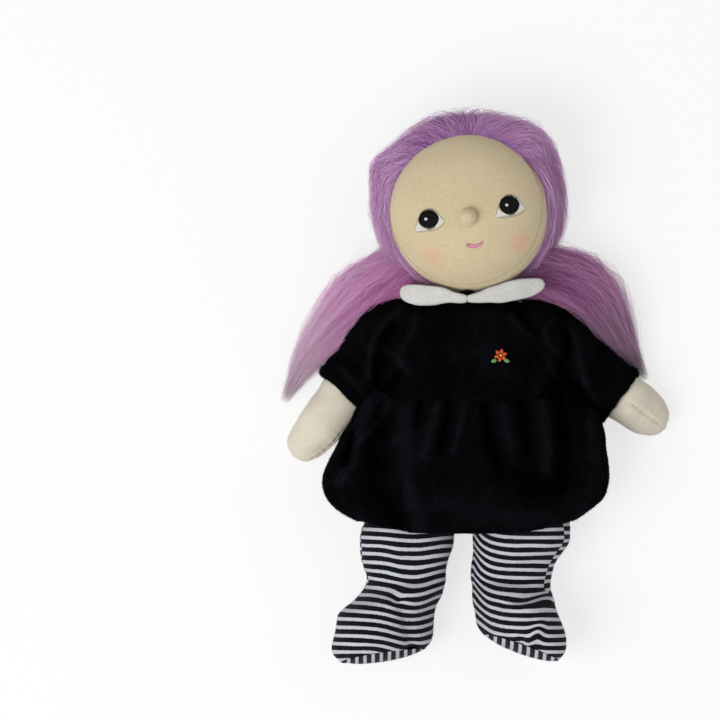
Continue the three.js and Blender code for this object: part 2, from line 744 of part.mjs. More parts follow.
function legStation(at, x, width, depth, z, turn = 0, tip = 0) {
  return { at, x, width, depth, z, turn, tip };
}
function legAt(side) {
  const { hipX, kneeX, ankleX, footX, footDrop, toeOut } = side;
  const instepX = (ankleX + footX) / 2;
  const footZ = hypot((footLength / 2) * cos(toeOut), (footWidth / 2) * sin(toeOut)) - restFlat;
  return smoothThrough([
    legStation(-hipBead, hipX, hipWidth * 0.94, hipBead * 0.6, torsoZ),
    legStation(-hipBead / 2, hipX, hipWidth * 0.98, hipBead * 1.7, torsoZ),
    legStation(0, hipX, hipWidth, hipBead * 2, torsoZ),
    legStation(2.4, hipX + 0.4, hipWidth * 1.04, hipBead * 1.9, torsoZ),
    legStation(4, hipX + 0.8, hipWidth * 1.08, legDepth * 0.17, torsoZ),
    legStation(8, hipX + 2, hipWidth * 1.18, legDepth * 0.38, torsoZ - 0.3),
    legStation(14, hipX + 4, legWidth * 0.9, legDepth * 0.66, torsoZ - 1.5),
    legStation(22, hipX + 6, legWidth * 0.96, legDepth * 0.95, legDepth * 0.475 + hemLift),
    legStation(36, kneeX, legWidth, legDepth, legDepth / 2 + hemLift),
    legStation(ankleDrop - 5, ankleX + 0.6, legWidth * 0.88, legDepth * 0.9, legDepth * 0.45 + 1),
    legStation(ankleDrop, ankleX, legWidth * 0.855, legDepth * 0.89, legDepth * 0.445),
    legStation(ankleDrop + 7, instepX, footWidth, footLength * 0.8, footZ * 0.86, toeOut * 0.75, 0.3),
    legStation(ankleDrop + 14, footX, footWidth, footLength * 0.95, footZ * 0.96, toeOut, 0.6),
    legStation(footDrop - 5, footX + 1, footWidth, footLength, footZ, toeOut, 0.9),
    legStation(footDrop, footX + 1, footWidth * 0.94, footLength * 0.95, footZ, toeOut, 1),
  ]);
}

function legRing(side, along, grow, drop, floor) {
  const size = legAt(side)(along);
  return ring(18, (around) => {
    const across = max(size.width / 2 + grow, 0.4) * boxy(cos(around), 2.2);
    const ahead = max(size.depth / 2 + grow, 0.3) * boxy(sin(around), 2.2);
    const x = across * cos(size.turn) + ahead * sin(size.turn);
    const z = ahead * cos(size.turn) - across * sin(size.turn);
    const lift = size.tip * (soleTip * z - side.soleSlope * x);
    return new THREE.Vector3(
      side.sign * (size.x + x),
      hipY - along - drop + lift,
      lay(size.z + z, floor),
    );
  });
}

for (const side of sides) {
  const end = side.footDrop;
  const places = [
    -hipBead, -hipBead / 2, 0, 2.4, 4, 8, 14, 22, 29, 36, ankleDrop - 6, ankleDrop, ankleDrop + 4,
    ankleDrop + 8, ankleDrop + 14, end - 6, end,
  ];
  const outside = places.map((along) => legRing(side, along, 0, 0, 0));
  const inside = places.toReversed().map((along) => legRing(side, along, -skinCloth, 0, skinCloth));
  add(`leg_cover_${side.name}`, loft([...outside, ...inside], true), materials.knit);
  const filled = places.slice(5).reverse();
  const inner = skinCloth + gap;
  const filling = filled.map((along) => legRing(side, along, -inner, 0, inner));
  add(`leg_stuffing_${side.name}`, loft(filling), materials.filling);
  const soleLevels = [gap, gap + soleCloth].map((drop) => legRing(side, end, -0.3, drop, 0));
  add(`sole_${side.name}`, loft(soleLevels), materials.knit);
}

// Pigtails: full bunches of pile that taper to a loose tip, each held by an elastic tie
const pigtailAt = smoothThrough([
  { at: 0, width: 0.4, depth: 0.5 },
  { at: 0.07, width: 0.42, depth: 0.52 },
  { at: 0.16, width: 0.8, depth: 0.82 },
  { at: 0.38, width: 1, depth: 1 },
  { at: 0.64, width: 0.86, depth: 0.9 },
  { at: 0.86, width: 0.46, depth: 0.56 },
  { at: 1, width: 0.1, depth: 0.16 },
]);
const pigtailPlaces = [0, 0.035, 0.07, 0.12, 0.18, 0.27, 0.36, 0.46, 0.57, 0.68, 0.78, 0.87, 0.94, 1];
const tiePlace = 0.035;

for (const side of sides) {
  const route = new THREE.CatmullRomCurve3(
    side.pigtail.map(([x, y, z]) => new THREE.Vector3(side.sign * x, y, z)),
  );
  function acrossAt(place) {
    const along = route.getTangentAt(place);
    return new THREE.Vector3(-along.y, along.x, 0).normalize();
  }
  const rings = pigtailPlaces.map((place) => {
    const size = pigtailAt(place);
    const middle = route.getPointAt(place);
    const across = acrossAt(place);
    return ring(16, (around) => {
      const point = middle.clone().addScaledVector(across, (size.width * pigtailWidth * cos(around)) / 2);
      point.z = lay(point.z + (size.depth * pigtailDepth * sin(around)) / 2, 0);
      return point;
    });
  });
  const room = hairRings(PI - poleAngle, hairRim, 9, hairHalves.clone().addScalar(gap), hairRound);
  const neighbours = [loft(room), ...pigtailCutters, ...cuffCutters];
  add(`pigtail_${side.name}`, cut(loft(rings), neighbours), materials.pile);

  const held = pigtailAt(tiePlace);
  const tieCentre = route.getPointAt(tiePlace);
  const tieAcross = acrossAt(tiePlace);
  const tieUp = new THREE.Vector3().crossVectors(route.getTangentAt(tiePlace), tieAcross);
  const tieReach = (max(held.width * pigtailWidth, held.depth * pigtailDepth) + tieThickness) / 2 + gap;
  const tie = new THREE.TorusGeometry(tieReach, tieThickness / 2, 6, 14);
  const tieFrame = new THREE.Matrix4().makeBasis(tieAcross, tieUp, route.getTangentAt(tiePlace));
  tie.applyMatrix4(tieFrame.setPosition(tieCentre));
  add(`hair_tie_${side.name}`, tie, materials.elastic);
}

// Stand the doll over the origin, on the floor
const bounds = new THREE.Box3().setFromObject(doll);
const middle = bounds.getCenter(new THREE.Vector3());
doll.position.set(-middle.x, -middle.y, -bounds.min.z);

const root = new THREE.Group();
root.name = "cloth_doll";
root.add(doll);

export default root;
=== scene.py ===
import math

import bpy
import numpy as np
from mathutils.bvhtree import BVHTree
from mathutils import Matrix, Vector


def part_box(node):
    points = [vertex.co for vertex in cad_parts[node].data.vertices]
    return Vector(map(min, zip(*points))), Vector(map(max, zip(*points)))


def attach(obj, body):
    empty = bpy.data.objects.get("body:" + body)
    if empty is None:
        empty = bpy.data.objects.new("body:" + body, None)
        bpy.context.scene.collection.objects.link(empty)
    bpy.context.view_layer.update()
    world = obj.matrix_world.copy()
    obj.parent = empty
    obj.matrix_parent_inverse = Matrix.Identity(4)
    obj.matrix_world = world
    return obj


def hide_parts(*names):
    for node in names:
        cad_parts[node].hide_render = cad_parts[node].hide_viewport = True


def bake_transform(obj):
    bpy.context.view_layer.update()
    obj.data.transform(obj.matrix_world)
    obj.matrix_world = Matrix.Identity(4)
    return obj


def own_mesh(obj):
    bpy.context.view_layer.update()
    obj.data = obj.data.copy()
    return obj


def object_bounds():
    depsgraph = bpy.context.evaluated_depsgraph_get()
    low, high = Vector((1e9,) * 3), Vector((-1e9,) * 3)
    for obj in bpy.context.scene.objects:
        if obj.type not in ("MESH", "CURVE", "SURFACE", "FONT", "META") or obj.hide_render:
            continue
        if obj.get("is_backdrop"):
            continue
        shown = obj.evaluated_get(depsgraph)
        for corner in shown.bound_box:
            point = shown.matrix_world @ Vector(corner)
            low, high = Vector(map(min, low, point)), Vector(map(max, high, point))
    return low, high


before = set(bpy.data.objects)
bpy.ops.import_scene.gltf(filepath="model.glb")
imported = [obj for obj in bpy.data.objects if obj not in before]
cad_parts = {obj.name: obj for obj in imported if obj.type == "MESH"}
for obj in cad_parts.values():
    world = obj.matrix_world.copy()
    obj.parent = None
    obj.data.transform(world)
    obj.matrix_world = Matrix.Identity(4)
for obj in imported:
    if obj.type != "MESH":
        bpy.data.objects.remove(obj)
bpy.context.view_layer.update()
print("frame loaded")

mm = 0.001
fullTurn = 2 * math.pi
thirds = (0, fullTurn / 3, 2 * fullTurn / 3)
floorGap = 0.02  # mm that everything stays above the floor
# the doll's middle line and feet in the picture, in pixels
photo = dict(size=720, middleX=467, feetY=664, perMm=2.4)
neckBallLow = 139.5  # mm from the feet, as in the part's source
neckLow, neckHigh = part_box("neck_cover")
origin = np.array(((neckLow.x + neckHigh.x) / 2, neckLow.y - neckBallLow * mm, 0))
rng = np.random.default_rng(7)


# the doll's own millimetres to the frame's metres, and back
def inFrame(points):
    return np.asarray(points, float) * mm + origin


def inDoll(points):
    return (np.asarray(points, float) - origin) / mm


def fromPhoto(px, py):
    return np.array(((px - photo["middleX"]) / photo["perMm"], (photo["feetY"] - py) / photo["perMm"]))


def boxy(value, power):  # 2 is round, more is boxier
    return np.sign(value) * np.abs(value) ** (2 / power)


def smoothStep(value):
    t = np.clip(value, 0, 1)
    return t * t * (3 - 2 * t)


def bell(far, wide):  # 1 in the middle, fading away on both sides
    return np.exp(-(far / wide) ** 2)


def unit(vectors):  # the same directions, each one long
    return vectors / (np.linalg.norm(vectors, axis=-1, keepdims=True) + 1e-9)


# a smooth value through stations, with no overshoot between them
def through(stations):
    table = np.array(stations, float)
    at, values = table[:, 0], table[:, 1:]
    rise = np.diff(values, axis=0) / np.diff(at)[:, None]
    slopes = np.empty_like(values)
    slopes[0], slopes[-1] = rise[0], rise[-1]
    product, total = rise[:-1] * rise[1:], rise[:-1] + rise[1:]
    slopes[1:-1] = np.where(product > 0, 2 * product / np.where(np.abs(total) < 1e-9, 1, total), 0)

    def value(t):
        t = np.asarray(t, float)
        i = np.clip(np.searchsorted(at, t) - 1, 0, len(at) - 2)
        run = (at[i + 1] - at[i])[..., None]
        s = np.clip((t[..., None] - at[i][..., None]) / run, 0, 1)
        bend = (1 + 2 * s) * (1 - s) ** 2 * values[i] + s * s * (3 - 2 * s) * values[i + 1]
        return bend + run * (s * (1 - s) ** 2 * slopes[i] - s * s * (1 - s) * slopes[i + 1])

    return value


# soft unevenness from -1 to 1, about this many millimetres from hill to hill
def lumps(points, size, seed=1):
    pick = np.random.default_rng(seed)
    total = np.zeros(len(points))
    for _ in range(7):
        way = pick.normal(size=3)
        way *= fullTurn / size / np.linalg.norm(way) * pick.uniform(0.6, 1.5)
        total += np.sin(points @ way + pick.uniform(0, 6.3))
    return total / 3.5


# soft ridges (+) and valleys (-) along lines given in the picture's pixels;
# each fold has its line, half width in mm and height in mm
def foldHeight(points, folds, aboveZ):
    total = np.zeros(len(points))
    for line, wide, high in folds:
        stops = np.array([fromPhoto(*p) for p in line])
        route = through(np.column_stack([np.linspace(0, 1, len(stops)), stops]))(np.linspace(0, 1, 17))
        far = np.full(len(points), 1e9)
        for a, b in zip(route[:-1], route[1:]):
            run = b - a
            t = np.clip((points[:, :2] - a) @ run / (run @ run), 0, 1)
            far = np.minimum(far, np.linalg.norm(points[:, :2] - a - t[:, None] * run, axis=1))
        total += high * bell(far, wide)
    return total * smoothStep((points[:, 2] - aboveZ) / 8)


def readPoints(piece):
    points = np.empty(len(piece.data.vertices) * 3, np.float32)
    piece.data.vertices.foreach_get("co", points)
    return points.reshape(-1, 3).astype(float)


def writePoints(piece, points):
    points = np.array(points, np.float32)
    points[:, 2] = np.maximum(points[:, 2], floorGap * mm)
    piece.data.vertices.foreach_set("co", points.ravel())
    piece.data.update()


# the fold height stored here is painted into the velvet as shade in the valleys and light on the ridges
def writeFoldShading(piece, values):  # how far each point is raised or sunk by the folds, for the velvet's shade
    layer = piece.data.attributes.new("fold", "FLOAT", "POINT")
    layer.data.foreach_set("value", np.clip(values, -1, 1).astype(np.float32))


def readNormals(piece):
    normals = np.empty(len(piece.data.vertices) * 3, np.float32)
    piece.data.vertices.foreach_get("normal", normals)
    return normals.reshape(-1, 3).astype(float)


def swell(piece, height):  # move every point outwards by the millimetres that height gives for its place
    spots = inDoll(readPoints(piece))
    writePoints(piece, inFrame(spots + readNormals(piece) * height(spots)[:, None]))


def pickOnly(piece):
    bpy.ops.object.select_all(action="DESELECT")
    piece.select_set(True)
    bpy.context.view_layer.objects.active = piece


def weld(piece, distance):
    pickOnly(piece)
    bpy.ops.object.mode_set(mode="EDIT")
    bpy.ops.mesh.select_all(action="SELECT")
    bpy.ops.mesh.remove_doubles(threshold=distance * mm)
    bpy.ops.mesh.normals_make_consistent(inside=False)
    bpy.ops.object.mode_set(mode="OBJECT")
    bpy.ops.object.shade_smooth()


def finishWith(piece, kind, **settings):  # one modifier, applied
    pickOnly(piece)
    modifier = piece.modifiers.new(kind.title(), kind)
    for name, value in settings.items():
        setattr(modifier, name, value)
    bpy.ops.object.modifier_apply(modifier=modifier.name)


def addPiece(name, data):
    piece = bpy.data.objects.new(name, data)
    bpy.context.scene.collection.objects.link(piece)
    return piece


def addMesh(name, points, faces):  # a new piece from points in the doll's millimetres
    mesh = bpy.data.meshes.new(name)
    mesh.from_pydata(inFrame(points).tolist(), [], faces)
    mesh.shade_smooth()
    return addPiece(name, mesh)


def repeatFaces(faces, count, step):  # the same faces again for each copy, step points further on
    return (faces[None] + (np.arange(count) * step)[:, None, None]).reshape(-1, 3).tolist()


def writeUv(piece, name, uv):
    layer = piece.data.uv_layers.new(name=name)
    layer.data.foreach_set("uv", uv.astype(np.float32).ravel())


# a grid wrapped onto a shape; u runs across it and v along it, both from 0 to 1
def wrapGrid(name, across, along, pointAt, uvAt=None):
    bpy.ops.object.select_all(action="DESELECT")
    bpy.ops.mesh.primitive_grid_add(x_subdivisions=across, y_subdivisions=along, size=1, calc_uvs=True)
    piece = bpy.context.object
    piece.name = piece.data.name = name
    flat = readPoints(piece)
    if uvAt:
        layer = piece.data.uv_layers.active.data
        uv = np.empty(len(layer) * 2, np.float32)
        layer.foreach_get("uv", uv)
        uv = uv.reshape(-1, 4, 2)
        middle = uv.mean(axis=1, keepdims=True)
        layer.foreach_set("uv", uvAt(uv[..., 0], uv[..., 1], middle[..., 0]).astype(np.float32).ravel())
    writePoints(piece, inFrame(pointAt(flat[:, 0] + 0.5, flat[:, 1] + 0.5)))
    weld(piece, 0.02)
    return piece


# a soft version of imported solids: rounded, run together, remeshed finely and smoothed
def softCopy(name, nodes, voxel, smooth, shift=None):
    parts = []
    for node in nodes:
        part = addPiece(name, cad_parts[node].data.copy())
        part.data.name = name
        part.data.materials.clear()
        weld(part, 0.05)
        finishWith(part, "SUBSURF", levels=1, render_levels=1)
        if shift:
            writePoints(part, inFrame(shift(node, inDoll(readPoints(part)))))
        parts.append(part)
    bpy.ops.object.select_all(action="DESELECT")
    for part in parts:
        part.select_set(True)
    piece = parts[0]
    bpy.context.view_layer.objects.active = piece
    if len(parts) > 1:
        bpy.ops.object.join()
    finishWith(piece, "REMESH", mode="VOXEL", voxel_size=voxel * mm, use_smooth_shade=True)
    finishWith(piece, "SMOOTH", factor=0.5, iterations=smooth)
    return piece


def dress(piece, material):
    piece.data.materials.clear()
    piece.data.materials.append(material)
    return piece


fibreTip = 0.45  # a fibre's width before its tip, as a share of its width at the root


# many thin tapered fibres, each one closed; paths is fibres x points x 3 in the doll's millimetres
def fibres(name, paths, widths, shade, material):
    count, steps = paths.shape[:2]
    along = unit(np.gradient(paths, axis=1))
    side = unit(np.cross(along, rng.normal(size=(count, 1, 3))))
    up = np.cross(along, side)
    taper = (widths[:, None] / 2 * np.linspace(1, fibreTip, steps - 1))[..., None]
    corners = []
    for turn in thirds:
        corners.append(paths[:, :-1] + taper * (math.cos(turn) * side[:, :-1] + math.sin(turn) * up[:, :-1]))
    rings = np.stack(corners, axis=2).reshape(count, -1, 3)
    points = np.concatenate([rings, paths[:, -1:]], axis=1)
    points[..., 2] = np.maximum(points[..., 2], floorGap)
    perFibre = points.shape[1]
    faces, heights = [(2, 1, 0)], [(0, 0, 0)]
    for i in range(steps - 2):
        for k in range(3):
            a, b = 3 * i + k, 3 * i + (k + 1) % 3
            faces += [(a, b, b + 3), (a, b + 3, a + 3)]
            heights += [(i, i, i + 1), (i, i + 1, i + 1)]
    for k in range(3):
        faces.append((3 * (steps - 2) + k, 3 * (steps - 2) + (k + 1) % 3, perFibre - 1))
        heights.append((steps - 2, steps - 2, steps - 1))
    faces = np.array(faces)
    piece = addMesh(name, points.reshape(-1, 3), repeatFaces(faces, count, perFibre))
    u = np.repeat(shade, faces.size)
    v = np.tile(np.array(heights).ravel() / (steps - 1), count)
    writeUv(piece, "OFBake", np.stack([u, v], axis=1))
    return dress(piece, material)


# random places on a piece: point, normal and UV, in the doll's millimetres
def scatter(piece, count, keep=None):
    mesh = piece.data
    mesh.calc_loop_triangles()
    corners = np.empty(len(mesh.loop_triangles) * 3, np.int32)
    loops = np.empty(len(mesh.loop_triangles) * 3, np.int32)
    mesh.loop_triangles.foreach_get("vertices", corners)
    mesh.loop_triangles.foreach_get("loops", loops)
    corners, loops = corners.reshape(-1, 3), loops.reshape(-1, 3)
    points, normals = inDoll(readPoints(piece)), readNormals(piece)
    if keep is not None:
        kept = keep(points[corners].mean(axis=1), normals[corners].mean(axis=1))
        corners, loops = corners[kept], loops[kept]
    a, b, c = (points[corners[:, k]] for k in range(3))
    area = np.linalg.norm(np.cross(b - a, c - a), axis=1)
    chosen = rng.choice(len(corners), size=count, p=area / area.sum())
    r, s = np.sqrt(rng.random(count)), rng.random(count)
    share = np.stack([1 - r, r * (1 - s), r * s], axis=1)[..., None]
    place = (points[corners[chosen]] * share).sum(axis=1)
    normal = unit((normals[corners[chosen]] * share).sum(axis=1))
    uv = None
    if mesh.uv_layers:
        layer = np.empty(len(mesh.loops) * 2, np.float32)
        mesh.uv_layers[0].data.foreach_get("uv", layer)
        uv = (layer.reshape(-1, 2)[loops[chosen]] * share).sum(axis=1)
    return place, normal, uv


tuft = dict(lean=0.45, rooted=0.2, tipGap=0.05, shades=0.4)


# short pile standing on a cloth: for each tuft a closed spike of four faces
def pileOn(base, nap, material, keep=None, foldShading=None):
    count = nap["count"]
    place, normal, uv = scatter(base, count, keep)
    way = unit(normal + rng.normal(size=(count, 3)) * tuft["lean"] + np.array(nap.get("comb", (0, 0, 0))))
    tip = place + way * (nap["long"] * rng.uniform(0.55, 1.15, count))[:, None]
    tip[:, 2] = np.maximum(tip[:, 2], tuft["tipGap"])
    side = unit(np.cross(way, rng.normal(size=(count, 3))))
    up = np.cross(way, side)
    root = place - normal * tuft["rooted"]
    root[:, 2] = np.maximum(root[:, 2], floorGap)
    corners = [root + nap["wide"] / 2 * (math.cos(t) * side + math.sin(t) * up) for t in thirds]
    points = np.stack([*corners, tip], axis=1).reshape(-1, 3)
    faces = np.array([(2, 1, 0), (0, 1, 3), (1, 2, 3), (2, 0, 3)])
    piece = addMesh(f"{base.name}_nap", points, repeatFaces(faces, count, 4))
    if uv is not None:
        writeUv(piece, "UVMap", np.repeat(uv, faces.size, axis=0))
    # the nap carries the cloth's painted fold shading, plus a random tone for each tuft
    if foldShading:
        writeFoldShading(piece, np.repeat(foldShading(place) + rng.normal(0, tuft["shades"], count), 4))
    return dress(piece, material)


# hex sRGB colour to linear
def colour(text):
    values = [int(text[i:i + 2], 16) / 255 for i in (1, 3, 5)]
    return (*[v / 12.92 if v <= 0.04045 else ((v + 0.055) / 1.055) ** 2.4 for v in values], 1)


def addNode(material, kind, inputs=None, links=None, **settings):
    node = material.node_tree.nodes.new("ShaderNode" + kind)
    for name, value in settings.items():
        setattr(node, name, value)
    for name, value in (inputs or {}).items():
        node.inputs[name].default_value = value
    for name, (other, socket) in (links or {}).items():
        material.node_tree.links.new(other.outputs[socket], node.inputs[name])
    return node


def startMaterial(name, **sockets):
    material = bpy.data.materials.new(name)
    material.use_nodes = True
    shader = material.node_tree.nodes["Principled BSDF"]
    for socket, value in sockets.items():
        shader.inputs[socket.replace("_", " ")].default_value = value
    return material, shader


def feed(material, shader, socket, node, output):
    material.node_tree.links.new(node.outputs[output], shader.inputs[socket])


def addBump(material, shader, height, output, distance, strength):
    bump = addNode(material, "Bump", {"Distance": distance * mm, "Strength": strength},
                   {"Height": (height, output)})
    feed(material, shader, "Normal", bump, "Normal")


def perMm(size):  # noise scale for features of this many millimetres
    return 1 / (size * mm)


# Cotton velour, brushed: matt, a soft bloom at the edges, a fine felted grain
def velourMaterial(name, pale, deep, grain, blush=()):
    material, shader = startMaterial(name, Roughness=0.92, Sheen_Weight=0.25, Sheen_Roughness=0.5,
                                     Specular_IOR_Level=0.2)
    place = addNode(material, "TexCoord")
    fine = addNode(material, "TexNoise", {"Scale": perMm(grain), "Detail": 3}, {"Vector": (place, "Object")})
    broad = addNode(material, "TexNoise", {"Scale": perMm(14), "Detail": 2}, {"Vector": (place, "Object")})
    both = addNode(material, "Math", {1: 0.3}, {0: (broad, 0), 2: (fine, 0)}, operation="MULTIPLY_ADD")
    share = addNode(material, "MapRange", {"From Min": 0.48, "From Max": 0.82}, {"Value": (both, 0)})
    base = addNode(material, "Mix", {6: colour(deep), 7: colour(pale)}, {0: (share, 0)}, data_type="RGBA")
    for spot in blush:
        far = addNode(material, "VectorMath", {1: spot["at"]}, {0: (place, "Object")}, operation="DISTANCE")
        limits = {"From Min": 0, "From Max": spot["reach"] * mm, "To Min": spot["share"], "To Max": 0}
        fade = addNode(material, "MapRange", limits, {"Value": (far, "Value")},
                       interpolation_type="SMOOTHSTEP")
        base = addNode(material, "Mix", {7: colour(spot["tint"])}, {0: (fade, 0), 6: (base, 2)},
                       data_type="RGBA")
    feed(material, shader, "Base Color", base, 2)
    addBump(material, shader, fine, 0, 0.35, 0.5)
    return material


# Cotton velvet, black: cut pile that swallows light and blooms cool and faint where it turns away; its colour
# carries painted shade in the fold valleys and painted light on the fold ridges
def velvetMaterial():
    material, shader = startMaterial("black_velvet", Roughness=1.0, Specular_IOR_Level=0.0, Sheen_Weight=0.05,
                                     Sheen_Roughness=0.3, Sheen_Tint=colour("#a9b0c9"))
    place = addNode(material, "TexCoord")
    fold = addNode(material, "Attribute", attribute_name="fold")
    brushed = addNode(material, "TexNoise", {"Scale": perMm(9), "Detail": 3, "Distortion": 0.8},
                      {"Vector": (place, "Object")})
    tuft = addNode(material, "TexNoise", {"Scale": perMm(0.9), "Detail": 2}, {"Vector": (place, "Object")})
    both = addNode(material, "Math", {}, {0: (brushed, 0), 1: (tuft, 0)}, operation="ADD")
    mottle = addNode(material, "MapRange", {"From Min": 0.7, "From Max": 1.3, "To Min": -0.4, "To Max": 0.4},
                     {"Value": (both, 0)})
    # painted shade in the fold valleys (sunk) and painted light on the ridges (raised), over a random mottle
    # of the pile
    share = addNode(material, "Math", {}, {0: (fold, "Fac"), 1: (mottle, 0)}, operation="ADD")
    sunk = addNode(material, "MapRange", {"From Min": -0.9, "From Max": 0}, {"Value": (share, 0)})
    raised = addNode(material, "MapRange", {"From Min": 0, "From Max": 1.1}, {"Value": (share, 0)})
    base = addNode(material, "Mix", {6: colour("#010102"), 7: colour("#070709")}, {0: (sunk, 0)},
                   data_type="RGBA")
    base = addNode(material, "Mix", {7: colour("#131418")}, {0: (raised, 0), 6: (base, 2)}, data_type="RGBA")
    feed(material, shader, "Base Color", base, 2)
    addBump(material, shader, tuft, 0, 0.5, 0.6)
    return material


# Polyester fleece, white: short curls about 1.5 mm across
def fleeceMaterial():
    material, shader = startMaterial("white_fleece", Roughness=0.95, Sheen_Weight=0.3, Sheen_Roughness=0.5,
                                     Specular_IOR_Level=0.2)
    place = addNode(material, "TexCoord")
    curl = addNode(material, "TexNoise", {"Scale": perMm(1.5), "Detail": 3, "Distortion": 0.8},
                   {"Vector": (place, "Object")})
    share = addNode(material, "MapRange", {"From Min": 0.3, "From Max": 0.6}, {"Value": (curl, 0)})
    base = addNode(material, "Mix", {6: colour("#c4c3c0"), 7: colour("#d0cfcb")}, {0: (share, 0)},
                   data_type="RGBA")
    feed(material, shader, "Base Color", base, 2)
    addBump(material, shader, curl, 0, 0.25, 0.4)
    return material


# Cotton jersey, yarn-dyed: matt, soft-edged stripes, fine knit loops (drawn at 0.8 mm so that they show)
def stripeMaterial():
    material, shader = startMaterial("striped_jersey", Roughness=0.95, Sheen_Weight=0.04, Sheen_Roughness=0.5,
                                     Specular_IOR_Level=0.05)
    place = addNode(material, "TexCoord")
    loops = addNode(material, "TexNoise", {"Scale": perMm(0.8), "Detail": 3}, {"Vector": (place, "Object")})
    parts = addNode(material, "SeparateXYZ", {}, {0: (place, "UV")})
    ragged = addNode(material, "Math", {1: 0.13, 2: -0.065}, {0: (loops, 0)}, operation="MULTIPLY_ADD")
    course = addNode(material, "Math", {}, {0: (parts, "Y"), 1: (ragged, 0)}, operation="ADD")
    stripe = addNode(material, "Math", {1: 0.5}, {0: (course, 0)}, operation="PINGPONG")
    share = addNode(material, "MapRange", {"From Min": 0.275, "From Max": 0.32}, {"Value": (stripe, 0)})
    light = addNode(material, "Mix", {6: colour("#b4b6c0"), 7: colour("#d0d2da")}, {0: (loops, 0)},
                    data_type="RGBA")
    dark = addNode(material, "Mix", {6: colour("#0b0b11"), 7: colour("#181821")}, {0: (loops, 0)},
                   data_type="RGBA")
    base = addNode(material, "Mix", {}, {0: (share, 0), 6: (dark, 2), 7: (light, 2)}, data_type="RGBA")
    feed(material, shader, "Base Color", base, 2)
    addBump(material, shader, loops, 0, 0.5, 0.5)
    return material


# Acrylic long pile: silky fibres, each one its own shade (u), darker at the root than at the tip (v); the
# darkening at the root is painted shade, where the pile shades itself
def hairMaterial(name, deep, middle, pale, tip, tipShare=0.55, tipFrom=0.5):
    material, shader = startMaterial(name, Roughness=0.5, Sheen_Weight=0.15, Sheen_Roughness=0.4,
                                     Specular_IOR_Level=0.35)
    place = addNode(material, "UVMap", uv_map="OFBake")
    parts = addNode(material, "SeparateXYZ", {}, {0: (place, 0)})
    ramp = addNode(material, "ValToRGB", {}, {0: (parts, "X")})
    ramp.color_ramp.elements[0].color = colour(deep)
    ramp.color_ramp.elements[1].color = colour(pale)
    ramp.color_ramp.elements.new(0.45).color = colour(middle)
    # painted shade towards the root, where the fibres shade one another
    root = addNode(material, "MapRange", {"From Min": 0, "From Max": 0.5, "To Min": 0.75, "To Max": 0},
                   {"Value": (parts, "Y")})
    shaded = addNode(material, "Mix", {7: colour(deep)}, {0: (root, 0), 6: (ramp, 0)}, data_type="RGBA")
    end = addNode(material, "MapRange", {"From Min": tipFrom, "From Max": 1, "To Min": 0, "To Max": tipShare},
                  {"Value": (parts, "Y")})
    base = addNode(material, "Mix", {7: colour(tip)}, {0: (end, 0), 6: (shaded, 2)}, data_type="RGBA")
    feed(material, shader, "Base Color", base, 2)
    return material


# Backing of the long pile: knitted ground in the same dye, seen only between fibres
def groundMaterial(name, deep, middle):
    material, shader = startMaterial(name, Roughness=0.9, Sheen_Weight=0.2)
    place = addNode(material, "TexCoord")
    loops = addNode(material, "TexNoise", {"Scale": perMm(1.2), "Detail": 4}, {"Vector": (place, "Object")})
    base = addNode(material, "Mix", {6: colour(deep), 7: colour(middle)}, {0: (loops, 0)}, data_type="RGBA")
    feed(material, shader, "Base Color", base, 2)
    addBump(material, shader, loops, 0, 0.8, 0.8)
    return material


# Rayon embroidery thread: smooth twisted filament with a soft gloss
def threadMaterial(name, pale, deep, gloss=0.3):
    material, shader = startMaterial(name, Roughness=0.5, Specular_IOR_Level=gloss)
    place = addNode(material, "TexCoord")
    twist = addNode(material, "TexNoise", {"Scale": perMm(0.5), "Detail": 2}, {"Vector": (place, "Object")})
    base = addNode(material, "Mix", {6: colour(deep), 7: colour(pale)}, {0: (twist, 0)}, data_type="RGBA")
    feed(material, shader, "Base Color", base, 2)
    addBump(material, shader, twist, 0, 0.12, 0.5)
    return material


print("materials ready")

# Camera and light: straight above the doll, as in the picture
view = dict(height=3.5, level=0.032, sensor=36, skyLight=0.4, floorGlow=0.72, floorWide=6)
lamps = {
    "key_lamp": dict(power=12, size=0.8, place=(-0.6, -0.35, 1.15)),
    "fill_lamp": dict(power=2.5, size=1.2, place=(0.8, 0.4, 1.0)),
}
photoMiddle = inFrame((*fromPhoto(photo["size"] / 2, photo["size"] / 2), 0))
photoWide = photo["size"] / photo["perMm"] * mm
camera = addPiece("camera", bpy.data.cameras.new("camera"))
camera.data.sensor_width = view["sensor"]
camera.data.lens = view["sensor"] * (view["height"] - view["level"]) / photoWide
camera.location = (photoMiddle[0], photoMiddle[1], view["height"])
bpy.context.scene.camera = camera
bpy.context.scene.view_settings.view_transform = "Standard"
for name, made in lamps.items():
    lamp = bpy.data.lights.new(name, "AREA")
    lamp.energy, lamp.size = made["power"], made["size"]
    holder = addPiece(name, lamp)
    holder.location = made["place"]
    aim = -np.array(made["place"])
    turn = math.atan2(aim[1], aim[0])
    tilt = math.atan2(math.hypot(aim[0], aim[1]), -aim[2])
    holder.rotation_euler = (0, -tilt, turn)

world = bpy.context.scene.world or bpy.data.worlds.new("studio")
bpy.context.scene.world = world
world.use_nodes = True
path = addNode(world, "LightPath")
seen = addNode(world, "Math", {}, {0: (path, "Is Camera Ray"), 1: (path, "Is Glossy Ray")},
               operation="MAXIMUM")
level = addNode(world, "MapRange", {"To Min": view["skyLight"], "To Max": 1.0}, {"Value": (seen, 0)})
backdrop = world.node_tree.nodes["Background"]
backdrop.inputs["Color"].default_value = (1, 1, 1, 1)
world.node_tree.links.new(level.outputs[0], backdrop.inputs["Strength"])

